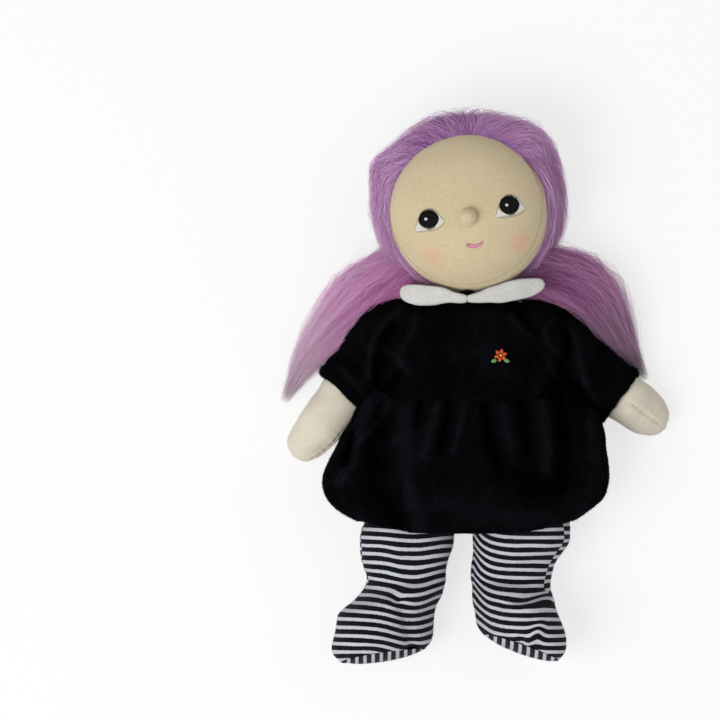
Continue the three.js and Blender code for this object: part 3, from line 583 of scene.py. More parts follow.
bpy.ops.object.select_all(action="DESELECT")
bpy.ops.mesh.primitive_plane_add(size=view["floorWide"], location=(0, 0, -0.0002))
floor = bpy.context.object
floor.name = "floor"
floorMaterial, floorShader = startMaterial("pale_floor", Roughness=0.9)
floorShader.inputs["Base Color"].default_value = colour("#f4f4f4")
path = addNode(floorMaterial, "LightPath")
seen = addNode(floorMaterial, "Math", {}, {0: (path, "Is Camera Ray"), 1: (path, "Is Glossy Ray")},
               operation="MAXIMUM")
shown = addNode(floorMaterial, "Math", {}, {0: (seen, 0), 1: (path, "Is Transmission Ray")},
                operation="MAXIMUM")
part = addNode(floorMaterial, "Math", {1: view["floorGlow"]}, {0: (shown, 0)}, operation="MULTIPLY")
glow = addNode(floorMaterial, "Emission", {"Color": (1, 1, 1, 1), "Strength": 1.0})
mixed = addNode(floorMaterial, "MixShader", {},
                {0: (part, 0), 1: (floorShader, "BSDF"), 2: (glow, "Emission")})
output = floorMaterial.node_tree.nodes["Material Output"]
floorMaterial.node_tree.links.new(mixed.outputs[0], output.inputs["Surface"])
floor.data.materials.append(floorMaterial)
floor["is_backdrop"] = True
print("camera, lamps and floor ready")

# Head: a stuffed flattened ball, a face panel and a back panel sewn together near its edge
head = dict(width=66, height=65, depth=54, round=2.3, lean=math.radians(9), middle=(1, 189.4, 32),
            seam=math.radians(64), cheek=1.04, chin=1.055, floor=4.5, groove=0.45, pucker=0.06,
            stitchPitch=1.35, stitchRing=29.5, stitchThread=0.34)


def leanHead(points):  # the head's own millimetres to the doll's
    points = np.asarray(points, float)
    c, s = math.cos(head["lean"]), math.sin(head["lean"])
    x, y, z = points[..., 0], points[..., 1], points[..., 2]
    return np.stack([x * c - y * s, x * s + y * c, z], axis=-1) + np.array(head["middle"])


def ball(halves, power, around, out):
    across = boxy(np.sin(out), power)
    return np.stack([halves[0] * across * np.cos(around), halves[1] * across * np.sin(around),
                     halves[2] * boxy(np.cos(out), power)], axis=-1)


headHalves = np.array((head["width"], head["height"], head["depth"])) / 2


def fuller(points):  # the stuffing fills the chin and the right cheek a little more
    points = points.copy()
    points[..., 0] *= np.where(points[..., 0] < 0, head["cheek"], 1)
    points[..., 1] *= np.where(points[..., 1] < 0, head["chin"], 1)
    return points


# the head is turned a little, so the seam shows at the lower left and hides at the upper right
def seamOut(around):
    return head["seam"] + math.radians(15) * (1 - np.cos(around - math.radians(-38))) / 2


def headPoint(around, out):
    point = fuller(ball(headHalves, head["round"], around, out))
    beside = out - seamOut(around)
    dip = head["groove"] * bell(beside, math.radians(1.6))
    wide = bell(beside, math.radians(5))
    dip = dip + head["pucker"] * wide * (np.cos(61 * around) + np.cos(43 * around + 1))
    point = leanHead(point - unit(point) * dip[..., None])
    point[..., 2] = np.maximum(point[..., 2], head["floor"])
    return point


def faceHeight(x, y):
    halfX = headHalves[0] * np.where(x < 0, head["cheek"], 1)
    halfY = headHalves[1] * np.where(y < 0, head["chin"], 1)
    across = np.hypot(x / halfX, y / halfY)
    return headHalves[2] * (1 - across ** head["round"]) ** (1 / head["round"])


def onFace(x, y, height):
    x, y = np.asarray(x, float), np.asarray(y, float)
    return leanHead(np.stack([x, y, faceHeight(x, y) + height], axis=-1))


def cheek(x, y, tint, share):
    return dict(at=tuple(inFrame(onFace(x, y, 0))), reach=7.5, tint=tint, share=share)


faceCloth = velourMaterial("face_velour", "#d5c5a3", "#c5b490", 0.55,
                           [cheek(-18.6, -17.2, "#e0a08c", 0.5), cheek(18.6, -17.2, "#dd9a88", 0.5)])
bodyCloth = velourMaterial("body_velour", "#dcd4c2", "#d2c9b7", 0.8)


def facePoint(u, v):
    around = u * fullTurn
    return headPoint(around, v * seamOut(around))


def headBackPoint(u, v):
    around = u * fullTurn
    return headPoint(around, seamOut(around) + v * (math.pi - seamOut(around)))


face = wrapGrid("face", 160, 60, facePoint)
headBack = wrapGrid("head_back", 160, 60, headBackPoint)
for piece, nodes in ((face, ("face_panel", "head_stuffing")), (headBack, ("head_back_panel",))):
    dress(piece, faceCloth)
    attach(piece, "head")
    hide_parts(*nodes)
print("head ready")


# one tube of thread along points in the doll's millimetres, its ends drawn in
def threadTube(points, width, sides=6):
    points = np.asarray(points, float)
    along = unit(np.gradient(points, axis=0))
    side = unit(np.cross(along, (0, 0, 1.0)))
    up = np.cross(side, along)
    t = np.linspace(-1, 1, len(points))
    reach = (width / 2 * np.sqrt(np.clip(1.02 - t ** 6, 0.02, 1)))[:, None, None]
    turn = np.linspace(0, fullTurn, sides, endpoint=False)[None, :, None]
    rings = points[:, None] + reach * (np.cos(turn) * side[:, None] + 0.8 * np.sin(turn) * up[:, None])
    count = len(points)
    verts = np.concatenate([rings.reshape(-1, 3), points[:1], points[-1:]])
    faces = []
    for i in range(count - 1):
        for k in range(sides):
            n = (k + 1) % sides
            faces.append((i * sides + k, i * sides + n, (i + 1) * sides + n, (i + 1) * sides + k))
    for k in range(sides):
        n = (k + 1) % sides
        faces.append((n, k, count * sides))
        faces.append(((count - 1) * sides + k, (count - 1) * sides + n, count * sides + 1))
    return verts, faces


# many threads as one sewn piece
def embroidery(name, threads, width, material):
    allPoints, allFaces, start = [], [], 0
    for points in threads:
        verts, faces = threadTube(points, width)
        allPoints.append(verts)
        allFaces += [tuple(start + k for k in f) for f in faces]
        start += len(verts)
    piece = addMesh(name, np.concatenate(allPoints), allFaces)
    weld(piece, 0.001)
    return dress(piece, material)


# satin stitch: threads side by side across an outline, laid on the surface that place gives
def satin(outline, angle, pitch, place, height, loose=0.12):
    outline = np.array(outline, float)
    c, s = math.cos(angle), math.sin(angle)
    turned = outline @ np.array(((c, -s), (s, c)))
    threads = []
    x = turned[:, 0].min() + pitch * 0.4
    while x < turned[:, 0].max() - pitch * 0.2:
        cuts = []
        for a, b in zip(turned, np.roll(turned, -1, axis=0)):
            if (a[0] - x) * (b[0] - x) < 0:
                cuts.append(a[1] + (b[1] - a[1]) * (x - a[0]) / (b[0] - a[0]))
        if len(cuts) >= 2:
            low, high = min(cuts) - rng.uniform(0, loose), max(cuts) + rng.uniform(0, loose)
            t = np.linspace(0, 1, 7)
            line = np.stack([np.full(7, x) + rng.normal(0, 0.02), low + (high - low) * t], axis=1)
            line = line @ np.array(((c, s), (-s, c)))
            rise = height * (np.sin(math.pi * t) ** 0.5) - 0.12
            threads.append(place(line[:, 0], line[:, 1], rise))
        x += pitch
    return threads


blackThread = threadMaterial("black_rayon_thread", "#0a0a0b", "#030304", 0.08)
whiteThread = threadMaterial("white_rayon_thread", "#e6e3dc", "#cdc9c0")
handThread = threadMaterial("tan_cotton_thread", "#c3b193", "#a99473")
rimShadowThread = threadMaterial("eye_rim_shadow_thread", "#a9a296", "#8d867a")
pinkThread = threadMaterial("pink_rayon_thread", "#d98ba6", "#c9718f")
highlightThread = threadMaterial("mouth_highlight_thread", "#efc0ce", "#e2a3b7")

# Eyes: white corners under a black iris with a small glint, and a grey thread round the whites as painted
# shadow along their raised edge
eye = dict(left=(16.2, -1.3), right=(-17.7, -1.8), irisWide=8.2, irisHigh=9.2, pitch=0.36, thread=0.46,
           glint=(-1.1, 0.3), glintWide=1.1, glintHigh=1.7, glintPitch=0.3, glintThread=0.42, edge=0.3)
corners = [(-6.5, -4.2), (-5.5, -1.6), (-4.0, 1.3), (-1.5, 4.0), (0.3, 4.5), (2.2, 4.1), (4.0, 2.4),
           (5.1, 0.2), (6.3, -2.3), (4.9, -3.7), (3.2, -4.6), (0, -4.8), (-3.5, -4.6)]
turns = np.linspace(0, fullTurn, 48, endpoint=False)


def oval(x, y, wide, high):
    return [(x + wide / 2 * math.cos(t), y + high / 2 * math.sin(t)) for t in turns]


for side in ("left", "right"):
    x, y = eye[side]
    white = satin([(x + dx, y + dy) for dx, dy in corners], 0.25, eye["pitch"], onFace, 0.35)
    eyeWhite = embroidery(f"eye_white_{side}_stitch", white, eye["thread"], whiteThread)
    iris = satin(oval(x, y, eye["irisWide"], eye["irisHigh"]), 0.0, eye["pitch"], onFace, 0.85, 0.2)
    eyeIris = embroidery(f"eye_iris_{side}_stitch", iris, eye["thread"], blackThread)
    spot = oval(x + eye["glint"][0], y + eye["glint"][1], eye["glintWide"], eye["glintHigh"])
    glint = satin(spot, 0.0, eye["glintPitch"], onFace, 1.2, 0.02)
    eyeGlint = embroidery(f"eye_glint_{side}", glint, eye["glintThread"], whiteThread)
    # a grey line round the white: painted shadow along the raised satin's edge
    rim = np.array([(x + dx, y + dy) for dx, dy in corners + corners[:2]])
    rimLine = onFace(rim[:, 0], rim[:, 1], 0.16)
    eyeEdge = embroidery(f"eye_edge_{side}", [rimLine], eye["edge"], rimShadowThread)
    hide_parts(f"eye_white_{side}")
    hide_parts(f"eye_iris_{side}")
    for piece in (eyeWhite, eyeEdge, eyeIris, eyeGlint):
        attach(piece, "head")

# Mouth: slanted stitches along a short smile, a paler line of thread through their middle as a painted
# highlight
mouth = dict(wide=6.4, x=-0.5, y=-14.7, dip=1.1, stroke=1.5, stitches=17, slant=0.3, thread=0.52, shine=0.4)
smileAt = np.linspace(-1, 1, mouth["stitches"])
smileX = mouth["x"] + smileAt * mouth["wide"] / 2
smileY = mouth["y"] - mouth["dip"] * (1 - smileAt ** 2)
ends = np.linspace(-1, 1, 7)
stitches = []
for t, x, y in zip(smileAt, smileX, smileY):
    reach = mouth["stroke"] / 2 * (0.75 + 0.25 * math.sqrt(1 - t ** 4))
    high = 0.45 * np.sqrt(1 - ends ** 2) + 0.02
    stitches.append(onFace(x + ends * mouth["slant"], y + ends * reach, high))
smile = embroidery("mouth_stitch_thread", stitches, mouth["thread"], pinkThread)
# the paler thread paints the satin stitches' highlight
shineLine = onFace(smileX[3:-3], smileY[3:-3] + 0.1, 0.58)
shine = embroidery("mouth_stitch_highlight", [shineLine], mouth["shine"], highlightThread)
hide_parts("mouth_stitch")
for piece in (smile, shine):
    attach(piece, "head")

# Topstitching round the face, just inside the seam
count = int(fullTurn * head["stitchRing"] / head["stitchPitch"])
runs = []
for i in range(count):
    middle = fullTurn * i / count
    span = np.linspace(-0.36, 0.36, 5) * fullTurn / count
    spot = headPoint(middle + span, seamOut(middle + span) - math.radians(3.0))
    lift = (spot - np.array(head["middle"])) / 30
    runs.append(spot + lift * (0.16 * (1 - np.linspace(-1, 1, 5) ** 2) - 0.05)[:, None])
seamThread = threadMaterial("cream_cotton_thread", "#c5b28b", "#a3906a")
topstitch = embroidery("face_topstitch", runs, head["stitchThread"], seamThread)
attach(topstitch, "head")

# Nose: a small stuffed knob drawn in at its edge
nose = dict(x=-1.5, y=-3.6, wide=8.0, deep=6.0, sunk=0.35)


def nosePoint(u, v):
    around, rise = u * fullTurn, (1 - v) * math.pi / 2
    reach = nose["wide"] / 2 * (np.cos(rise) ** 0.9 - 0.16 * bell(rise, 0.2))
    x, y = nose["x"] + reach * np.cos(around), nose["y"] + reach * np.sin(around)
    high = faceHeight(x, y) - nose["sunk"] + nose["deep"] * np.sin(rise) ** 0.9
    return leanHead(np.stack([x, y, high], axis=-1))


noseKnob = wrapGrid("nose_knob", 64, 24, nosePoint)
dress(noseKnob, faceCloth)
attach(noseKnob, "head")
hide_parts("nose")
print("face ready")

# Neck and trunk: stuffed, almost all under the dress
stuffed = dict(voxel=1.5, smooth=6, plump=1.25)
for name, node, cover, body in (("neck", "neck_stuffing", "neck_cover", "neck"),
                                ("torso", "torso_stuffing", "torso_cover", "torso")):
    piece = softCopy(name, [node], stuffed["voxel"], stuffed["smooth"])
    swell(piece, lambda spots: np.full(len(spots), stuffed["plump"]))
    dress(piece, bodyCloth)
    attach(piece, body)
    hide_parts(node, cover)

# Arms: mittens of velour, drawn flat where they are sewn on
trunk = dict(z=22.2, shoulderX=29.15, shoulderY=137, hipY=88)
arm = dict(long=67, wide=21, deep=20, seam=13, inside=1.6, lift=2.4, turn=20,
           nap=dict(count=4000, long=0.4, wide=0.1))
armSides = {
    "left": dict(sign=1, drop=math.radians(37), sleeve=42, shorter=3.0, bend=1.8, slim=0.3,
                 seamAt=math.radians(93)),
    "right": dict(sign=-1, drop=math.radians(47), sleeve=33, shorter=4.5, bend=-2.6, slim=0.9,
                  seamAt=math.radians(152)),
}
w, d, z = arm["wide"], arm["deep"], trunk["z"]
armAt = through([
    (-arm["inside"], arm["seam"] * 0.9, 1, z), (0, arm["seam"], 3.2, z), (3, w * 0.66, 3.5, z - 0.3),
    (8, w * 0.76, d * 0.38, z - 1.4), (17, w * 0.92, d * 0.76, z - 5), (34, w * 0.95, d * 0.95, d / 2 + 2.9),
    (48, w, d, d / 2 + arm["lift"]), (57, w * 0.93, d * 0.88, d * 0.44 - 0.5),
    (63, w * 0.68, d * 0.62, d * 0.36), (65.6, w * 0.42, d * 0.38, d * 0.34),
    (arm["long"], 0.1, 0.1, d * 0.34),
])


def armFrame(side, along):
    share = np.clip(along / arm["turn"], 0, 1)
    bend = side["drop"] * share
    turn = side["drop"] * smoothStep(share)
    x = side["sign"] * (trunk["shoulderX"] + along * np.cos(bend))
    y = trunk["shoulderY"] - along * np.sin(bend)
    return x, y, side["sign"] * np.sin(turn), np.cos(turn)


def armPoint(made, u, v):
    along = v * (arm["long"] + arm["inside"]) - arm["inside"]
    around = u * fullTurn
    size = armAt(along)
    x, y, acrossX, acrossY = armFrame(made, along)
    shut = smoothStep((along - 40) / 12)
    near = np.abs(np.angle(np.exp(1j * (around - made["seamAt"]))))
    ridge = shut * (-1.5 * bell(near, 0.08) + 0.95 * bell(near, 0.24))
    pucker = shut * 0.16 * bell(near, 0.5) * np.cos(along * 2.1)
    grow = (ridge + pucker) * np.clip((arm["long"] - along) / 6, 0, 1)
    outer = smoothStep((along - 26) / 30)
    across = np.maximum(size[:, 0] / 2 - made["slim"] * outer + grow, 0.05) * boxy(np.cos(around), 2.2)
    across = across + made["bend"] * outer
    up = np.maximum(size[:, 1] / 2 + grow, 0.05) * boxy(np.sin(around), 2.2)
    return np.stack([x + acrossX * across, y + acrossY * across, np.maximum(size[:, 2] + up, 0.05)], axis=1)


for side, made in armSides.items():
    piece = wrapGrid(f"arm_{side}", 96, 120, lambda u, v: armPoint(made, u, v))
    swell(piece, lambda spots: 0.35 * lumps(spots, 11, 3))
    dress(piece, bodyCloth)
    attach(piece, f"arm_{side}")
    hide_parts(f"arm_cover_{side}", f"arm_stuffing_{side}")
    fuzz = pileOn(piece, arm["nap"], bodyCloth, lambda p, n: p[:, 0] * made["sign"] > 45)
    runs = []
    for start in np.arange(49.0, 63.0, 2.1):  # the stitches that close the hand, down in the seam
        reach = start + np.linspace(0, 1.5, 5)
        share = (reach + arm["inside"]) / (arm["long"] + arm["inside"])
        spot = armPoint(made, np.full(5, made["seamAt"] / fullTurn), share)
        spot[:, 2] += 0.1 + 0.2 * np.sin(np.linspace(0, math.pi, 5))
        runs.append(spot)
    closing = embroidery(f"hand_seam_{side}", runs, 0.4, handThread)
    for part in (fuzz, closing):
        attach(part, f"arm_{side}")
print("arms ready")

# Legs: striped jersey, flat at the hip seam, full at the thigh, with feet that turn out
leg = dict(wide=38, deep=34, footLong=47, footWide=30, ankle=53, lift=3.4, pitch=3.4, inside=2, soleFull=2.4,
           nap=dict(count=9500, long=0.5, wide=0.13), soleNap=dict(count=1700, long=0.5, wide=0.13))
legSides = {
    "left": dict(sign=1, hipX=15, kneeX=22.4, ankleX=18.6, footX=22.6, end=81.5, toeOut=math.radians(30),
                 slope=0.38, thigh=2.6, calf=1.5, shin=0.5, foot=2.3, seamAt=0.09),
    "right": dict(sign=-1, hipX=15, kneeX=25, ankleX=25.1, footX=35.8, end=84.8, toeOut=math.radians(43),
                  slope=0.17, thigh=0.4, calf=1.2, shin=1.8, foot=4.7, seamAt=0.03),
}


def sagLeft(x, y):  # how far a stripe hangs at a place on the leg, in mm; it climbs round the inner side
    inner = 8 * np.exp(-np.maximum(x - 2.9, 0) / 4.2)
    ankle = 2 * np.exp(-((x - 32) / 6) ** 2 - ((y - 28) / 4) ** 2)
    instep = 2 * np.exp(-((x - 29) / 2.5) ** 2 - ((y - 13) / 4) ** 2)
    return -inner - ankle - instep


def sagRight(x, y):
    return (1.2 + 2.6 * smoothStep((54 - y) / 30)) * bell(x + 22.5, 11)


stripeSag = dict(left=sagLeft, right=sagRight)
legFolds = {
    "left": [([(548, 588), (525, 597), (498, 603)], 2.2, -1.6), ([(548, 601), (525, 607)], 1.8, 0.8),
             ([(527, 642), (536, 632), (541, 624)], 1.8, 1.0), ([(522, 640), (512, 630)], 2.0, -0.8)],
    "right": [([(398, 596), (408, 622), (414, 650)], 2.6, -1.6),
              ([(366, 584), (385, 592), (405, 597)], 2.2, -0.8),
              ([(396, 535), (398, 565), (396, 590)], 3.0, 0.5)],
}


# from hip to sole: mm along the leg, x, width, depth, z, turn of the foot and share of its slope
def legStations(made):
    w, d, hip, z = leg["wide"], leg["deep"], leg["wide"] * 0.67, trunk["z"]
    inX, kneeX, ankleX, footX = made["hipX"], made["kneeX"], made["ankleX"], made["footX"]
    long, wide, turn, end, low = leg["footLong"], leg["footWide"], made["toeOut"], made["end"], leg["ankle"]
    footZ = math.hypot(long / 2 * math.cos(turn), wide / 2 * math.sin(turn)) - 0.5
    more, calf, shin, full = made["thigh"], made["calf"], made["shin"], made["foot"]
    return through([
        (-leg["inside"], inX, hip * 0.94, 1.2, z, 0, 0), (0, inX, hip, 4, z, 0, 0),
        (4, inX + 0.8, hip * 1.08, d * 0.17, z, 0, 0), (8, inX + 2, hip * 1.18, d * 0.38, z - 0.3, 0, 0),
        (14, inX + 4 + more / 2, w * 0.9 + more, d * 0.66, z - 1.5, 0, 0),
        (22, inX + 6 + more / 2, w * 0.96 + more, d * 0.95, d * 0.475 + leg["lift"], 0, 0),
        (36, kneeX + more / 4, w + more / 2 + calf, d, d / 2 + leg["lift"], 0, 0),
        (low - 5, ankleX + 0.6, w * 0.88 + shin, d * 0.9, d * 0.45 + 1, 0, 0),
        (low, ankleX, w * 0.855 + shin, d * 0.89, d * 0.445, 0, 0),
        (low + 7, (ankleX + footX - full) / 2, wide + full, long * 0.8, footZ * 0.86, turn * 0.75, 0.3),
        (low + 14, footX - full / 2, wide + full, long * 0.95, footZ * 0.96, turn, 0.6),
        (end - 5, footX + 1 - full / 3, wide + full * 0.8, long, footZ, turn, 0.9),
        (end, footX + 1 - full / 3, wide * 0.94 + full * 0.8, long * 0.95, footZ, turn, 1),
    ])


def legPoint(made, along, around, inset=0.0):
    size = legStations(made)(along)
    close = np.clip((along - made["end"] + 8) / 8, 0, 1)
    reach = (1 - inset) * (1 - 0.13 * close ** 3)
    across = np.maximum(size[:, 1] / 2, 0.3) * boxy(np.cos(around), 2.2) * reach
    ahead = np.maximum(size[:, 2] / 2, 0.3) * boxy(np.sin(around), 2.2) * reach
    turn, tip = size[:, 4], size[:, 5]
    x = across * np.cos(turn) + ahead * np.sin(turn)
    depth = ahead * np.cos(turn) - across * np.sin(turn)
    lift = tip * (0.1 * depth - made["slope"] * x)
    return np.stack([made["sign"] * (size[:, 0] + x), trunk["hipY"] - along + lift,
                     np.maximum(size[:, 3] + depth, 0.05)], axis=1)


jersey = stripeMaterial()
for side, made in legSides.items():
    first, last = -leg["inside"], made["end"]

    def skinPoint(u, v):
        return legPoint(made, first + v * (last - first), u * fullTurn)

    def legUv(u, v, faceU):
        spot = skinPoint(u.ravel(), v.ravel())
        behind = (faceU < made["seamAt"]) | (faceU > 0.62)
        sag = stripeSag[side](spot[:, 0], spot[:, 1]).reshape(u.shape)
        course = np.where(behind, 0.43 * leg["pitch"], sag) + spot[:, 1].reshape(u.shape)
        return np.stack([u, course / leg["pitch"]], axis=-1)

    piece = wrapGrid(f"leg_{side}", 120, 150, skinPoint, legUv)
    swell(piece, lambda spots: 0.5 * lumps(spots, 17, 5) + foldHeight(spots, legFolds[side], 14))
    dress(piece, jersey)
    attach(piece, f"leg_{side}")
    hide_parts(f"leg_cover_{side}", f"leg_stuffing_{side}")

    def solePoint(u, v):
        point = legPoint(made, np.full(len(u), float(last)), u * fullTurn, 1 - np.maximum(v, 0.001))
        point[:, 1] -= leg["soleFull"] * (1 - v ** 3)
        return point

    def soleUv(u, v, faceU):
        across = solePoint(u.ravel(), v.ravel())[:, 0].reshape(u.shape)
        return np.stack([u, across / leg["pitch"]], axis=-1)

    sole = wrapGrid(f"sole_{side}_jersey", 120, 24, solePoint, soleUv)
    dress(sole, jersey)
    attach(sole, f"leg_{side}")
    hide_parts(f"sole_{side}")
    for base, nap in ((piece, leg["nap"]), (sole, leg["soleNap"])):
        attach(pileOn(base, nap, jersey), f"leg_{side}")
print("legs ready")

# Dress: velvet top with elbow sleeves and rolled cuffs, gathered skirt
velvet = velvetMaterial()
gown = dict(waist=110, hem=56, armZ=17.0, voxel=0.75, topSmooth=5, skirtSmooth=3, plump=0.3, drawnUp=0.42,
            topNap=dict(count=14000, long=0.75, wide=0.15, comb=(0, -0.25, 0)),
            skirtNap=dict(count=13000, long=0.75, wide=0.15, comb=(0, -0.3, 0)),
            cuffNap=dict(count=4500, long=1.0, wide=0.16), cuffVoxel=0.55, cuffSmooth=2)


def armAxis(made):
    return np.array((made["sign"] * math.cos(made["drop"]), -math.sin(made["drop"]), 0))


def fromShoulder(points, made):
    return points - np.array((made["sign"] * trunk["shoulderX"], trunk["shoulderY"], gown["armZ"]))


def alongArm(points, made):
    return fromShoulder(points, made) @ armAxis(made)


# the skirt's reach to each side at heights above the feet, in mm
skirtReach = {
    1: through([(52, 30), (58.3, 40.4), (61.7, 46.7), (65, 52.2), (68.3, 56.4), (72, 58.5),
                (78, 59), (88, 58.2), (95, 57.8), (101.7, 56), (106, 53), (110, 48)]),
    -1: through([(52, 30), (58.3, 40.8), (61.7, 49.6), (65, 54.6), (68.3, 57.5), (75, 60),
                 (81.7, 58.8), (88.3, 55.6), (95, 52.2), (101.7, 48.5), (106, 46), (110, 43)]),
}


def widenSkirt(points):  # stretch it sideways until its outline has that reach
    moved = points.copy()
    heights = np.arange(53.0, 111.0, 1.5)
    for sign, reach in skirtReach.items():
        here = points[points[:, 0] * sign > 0]
        was = [np.max(np.abs(here[np.abs(here[:, 1] - y) < 2.2][:, 0]), initial=1.0) for y in heights]
        wanted = reach(heights)[:, 0] / np.array(was)
        wanted = np.convolve(np.pad(wanted, 2, mode="edge"), np.ones(5) / 5, mode="valid")
        chosen = points[:, 0] * sign > 0
        moved[chosen, 0] *= np.interp(points[chosen, 1], heights, np.clip(wanted, 0.8, 1.4))
    return moved


def tuckSeams(node, points):  # run each panel on under its neighbour, so that no seam gapes
    points = points.copy()
    if node == "dress_bodice":
        points[:, 1] -= 1.2 * smoothStep((gown["waist"] + 3 - points[:, 1]) / 3)
    elif node == "dress_skirt":
        points = widenSkirt(points)
        puff = 5 * smoothStep((points[:, 0] - 32) / 8) + 3 * smoothStep((-points[:, 0] - 32) / 8)
        points[:, 1] += puff * smoothStep((points[:, 1] - 98) / 10)
        points[:, 1] -= 1.7 * smoothStep((78 - points[:, 1]) / 20)
        top = smoothStep((points[:, 1] - gown["waist"] + 4) / 4)
        points[:, 1] += 2.0 * top
        points[:, [0, 2]] -= (points[:, [0, 2]] - np.array((0, trunk["z"]))) * (0.04 * top)[:, None]
    else:
        made = armSides[node.split("_")[1]]
        along = alongArm(points, made)
        points -= armAxis(made) * (3.2 * smoothStep((9 - along) / 9))[:, None]
        points -= armAxis(made) * (made["shorter"] * smoothStep((along - 8) / 16))[:, None]
        points += armAxis(made) * (1.8 * smoothStep((along - made["sleeve"] + 5) / 4))[:, None]
    return points


topNodes = ["dress_bodice", "sleeve_left", "sleeve_right"]
top = softCopy("dress_top", topNodes, gown["voxel"], gown["topSmooth"], tuckSeams)
skirt = softCopy("skirt", ["dress_skirt"], gown["voxel"], gown["skirtSmooth"], tuckSeams)
for piece in (top, skirt):
    swell(piece, lambda spots: np.full(len(spots), gown["plump"]))


# outward from the trunk's upright middle
def outward(points, middleZ):
    return unit(np.stack([points[:, 0] * 0.8, np.zeros(len(points)), points[:, 2] - middleZ], axis=1))


bodiceFolds = [
    ([(402, 304), (388, 320), (375, 338), (370, 356), (369, 376)], 1.8, 1.4),
    ([(417, 318), (410, 334), (401, 350), (398, 364)], 1.8, 1.2),
    ([(512, 318), (530, 333), (545, 347), (552, 362), (543, 377), (537, 394)], 2.4, 1.5),
    ([(553, 320), (545, 334), (549, 348), (558, 356)], 1.8, 1.0),
    ([(567, 322), (577, 346), (584, 376), (596, 404)], 2.2, 1.5),
    ([(384, 346), (396, 358), (408, 372)], 1.6, 1.0),
    ([(342, 366), (352, 380), (362, 394)], 1.8, 0.9),
    ([(478, 322), (486, 346), (500, 366)], 7.0, 0.6),
    ([(392, 326), (382, 346), (379, 372), (380, 392)], 2.4, -1.8),
    ([(346, 362), (360, 372)], 2.2, -1.0),
    ([(516, 310), (537, 337), (558, 364), (568, 381), (590, 406)], 2.0, -2.0),
    ([(563, 316), (569, 340), (564, 362)], 1.8, -1.6),
    ([(402, 372), (390, 384), (372, 396)], 2.0, -1.3),
    ([(607, 352), (600, 372), (594, 388)], 3.0, -0.8),
    ([(442, 312), (436, 345), (440, 380)], 7.0, -0.6),
]


# the bodice folds' heights, painted into the velvet as shade in the valleys and light on the ridges
def topFoldShading(points):
    return foldHeight(points, bodiceFolds, 16) / 2


# away from the arm's middle on a sleeve, from the trunk's on the bodice
def awayOnTop(points):
    away = outward(points, trunk["z"])
    for made in armSides.values():
        along = alongArm(points, made)
        far = unit(fromShoulder(points, made) - along[:, None] * armAxis(made))
        share = smoothStep((along + 4) / 12) * (points[:, 0] * made["sign"] > trunk["shoulderX"] - 8)
        away = away * (1 - share)[:, None] + far * share[:, None]
    return unit(away)


spots = inDoll(readPoints(top))
change = foldHeight(spots, bodiceFolds, 16) + 0.5 * lumps(spots, 15, 11)
gather = 0.5 * np.cos(30 * np.arctan2(spots[:, 2] - trunk["z"], spots[:, 0] * 0.6))
change += gather * bell(spots[:, 1] - gown["waist"], 3.0) * (np.abs(spots[:, 0]) < 40)
writePoints(top, inFrame(spots + awayOnTop(spots) * change[:, None]))

skirtFolds = [
    ([(370, 402), (361, 424), (357, 446), (353, 464), (341, 482)], 2.0, 1.7),
    ([(391, 398), (384, 414), (372, 428), (360, 440)], 1.7, 1.4),
    ([(404, 410), (402, 440), (406, 470), (411, 500), (418, 526)], 4.0, 1.3),
    ([(438, 404), (431, 428), (424, 456)], 1.9, 1.5),
    ([(466, 404), (460, 428), (454, 450)], 1.9, 1.4),
    ([(503, 408), (508, 434), (514, 460)], 2.6, 1.1),
    ([(541, 402), (545, 440), (548, 468)], 3.2, 1.1),
    ([(590, 420), (596, 450), (596, 490)], 4.0, 1.0),
    ([(440, 500), (480, 512), (525, 517), (580, 508)], 5.5, 0.9),
    ([(352, 436), (346, 464)], 2.2, -1.8),
    ([(381, 420), (372, 450), (376, 490), (398, 520)], 5.0, -1.6),
    ([(420, 402), (416, 425)], 1.6, -1.2),
    ([(449, 404), (444, 430), (440, 450)], 2.0, -1.6),
    ([(483, 402), (487, 430), (494, 462)], 2.0, -2.0),
    ([(521, 402), (524, 430), (528, 452)], 2.0, -2.0),
    ([(558, 400), (562, 440), (560, 486)], 3.2, -2.0),
    ([(505, 470), (535, 488), (552, 498)], 6.0, -1.3),
    ([(575, 396), (580, 420), (582, 440)], 2.0, -1.0),
    ([(546, 390), (564, 383), (586, 402)], 2.6, -1.8),
]


# the traced folds on top, even gathers round the sides and drawn in under the back
def skirtHeight(points):
    down = np.clip((gown["waist"] - points[:, 1]) / (gown["waist"] - gown["hem"]), 0, 1)
    around = np.arctan2((points[:, 2] - trunk["z"]) * 1.6, points[:, 0])
    wave = np.cos(26 * around + 1.6 * np.sin(3 * around) + 0.8 * down)
    sides = smoothStep((points[:, 2] - 10) / 6) * smoothStep((34 - points[:, 2]) / 8)
    under = smoothStep((10 - points[:, 2]) / 4)
    even = (0.95 * np.exp(-down / 0.28) + 0.3) * (sides * wave + under * (wave - 1) * 0.5)
    return even + foldHeight(points, skirtFolds, 22)


# the skirt's heights, painted into the velvet as shade in the valleys and under the back, and light on the
# ridges
def skirtFoldShading(points):
    return skirtHeight(points) / 2


spots = inDoll(readPoints(skirt))
change = skirtHeight(spots) + 0.4 * smoothStep((spots[:, 2] - 12) / 14) * lumps(spots, 14, 17)
writePoints(skirt, inFrame(spots + outward(spots, trunk["z"]) * change[:, None]))


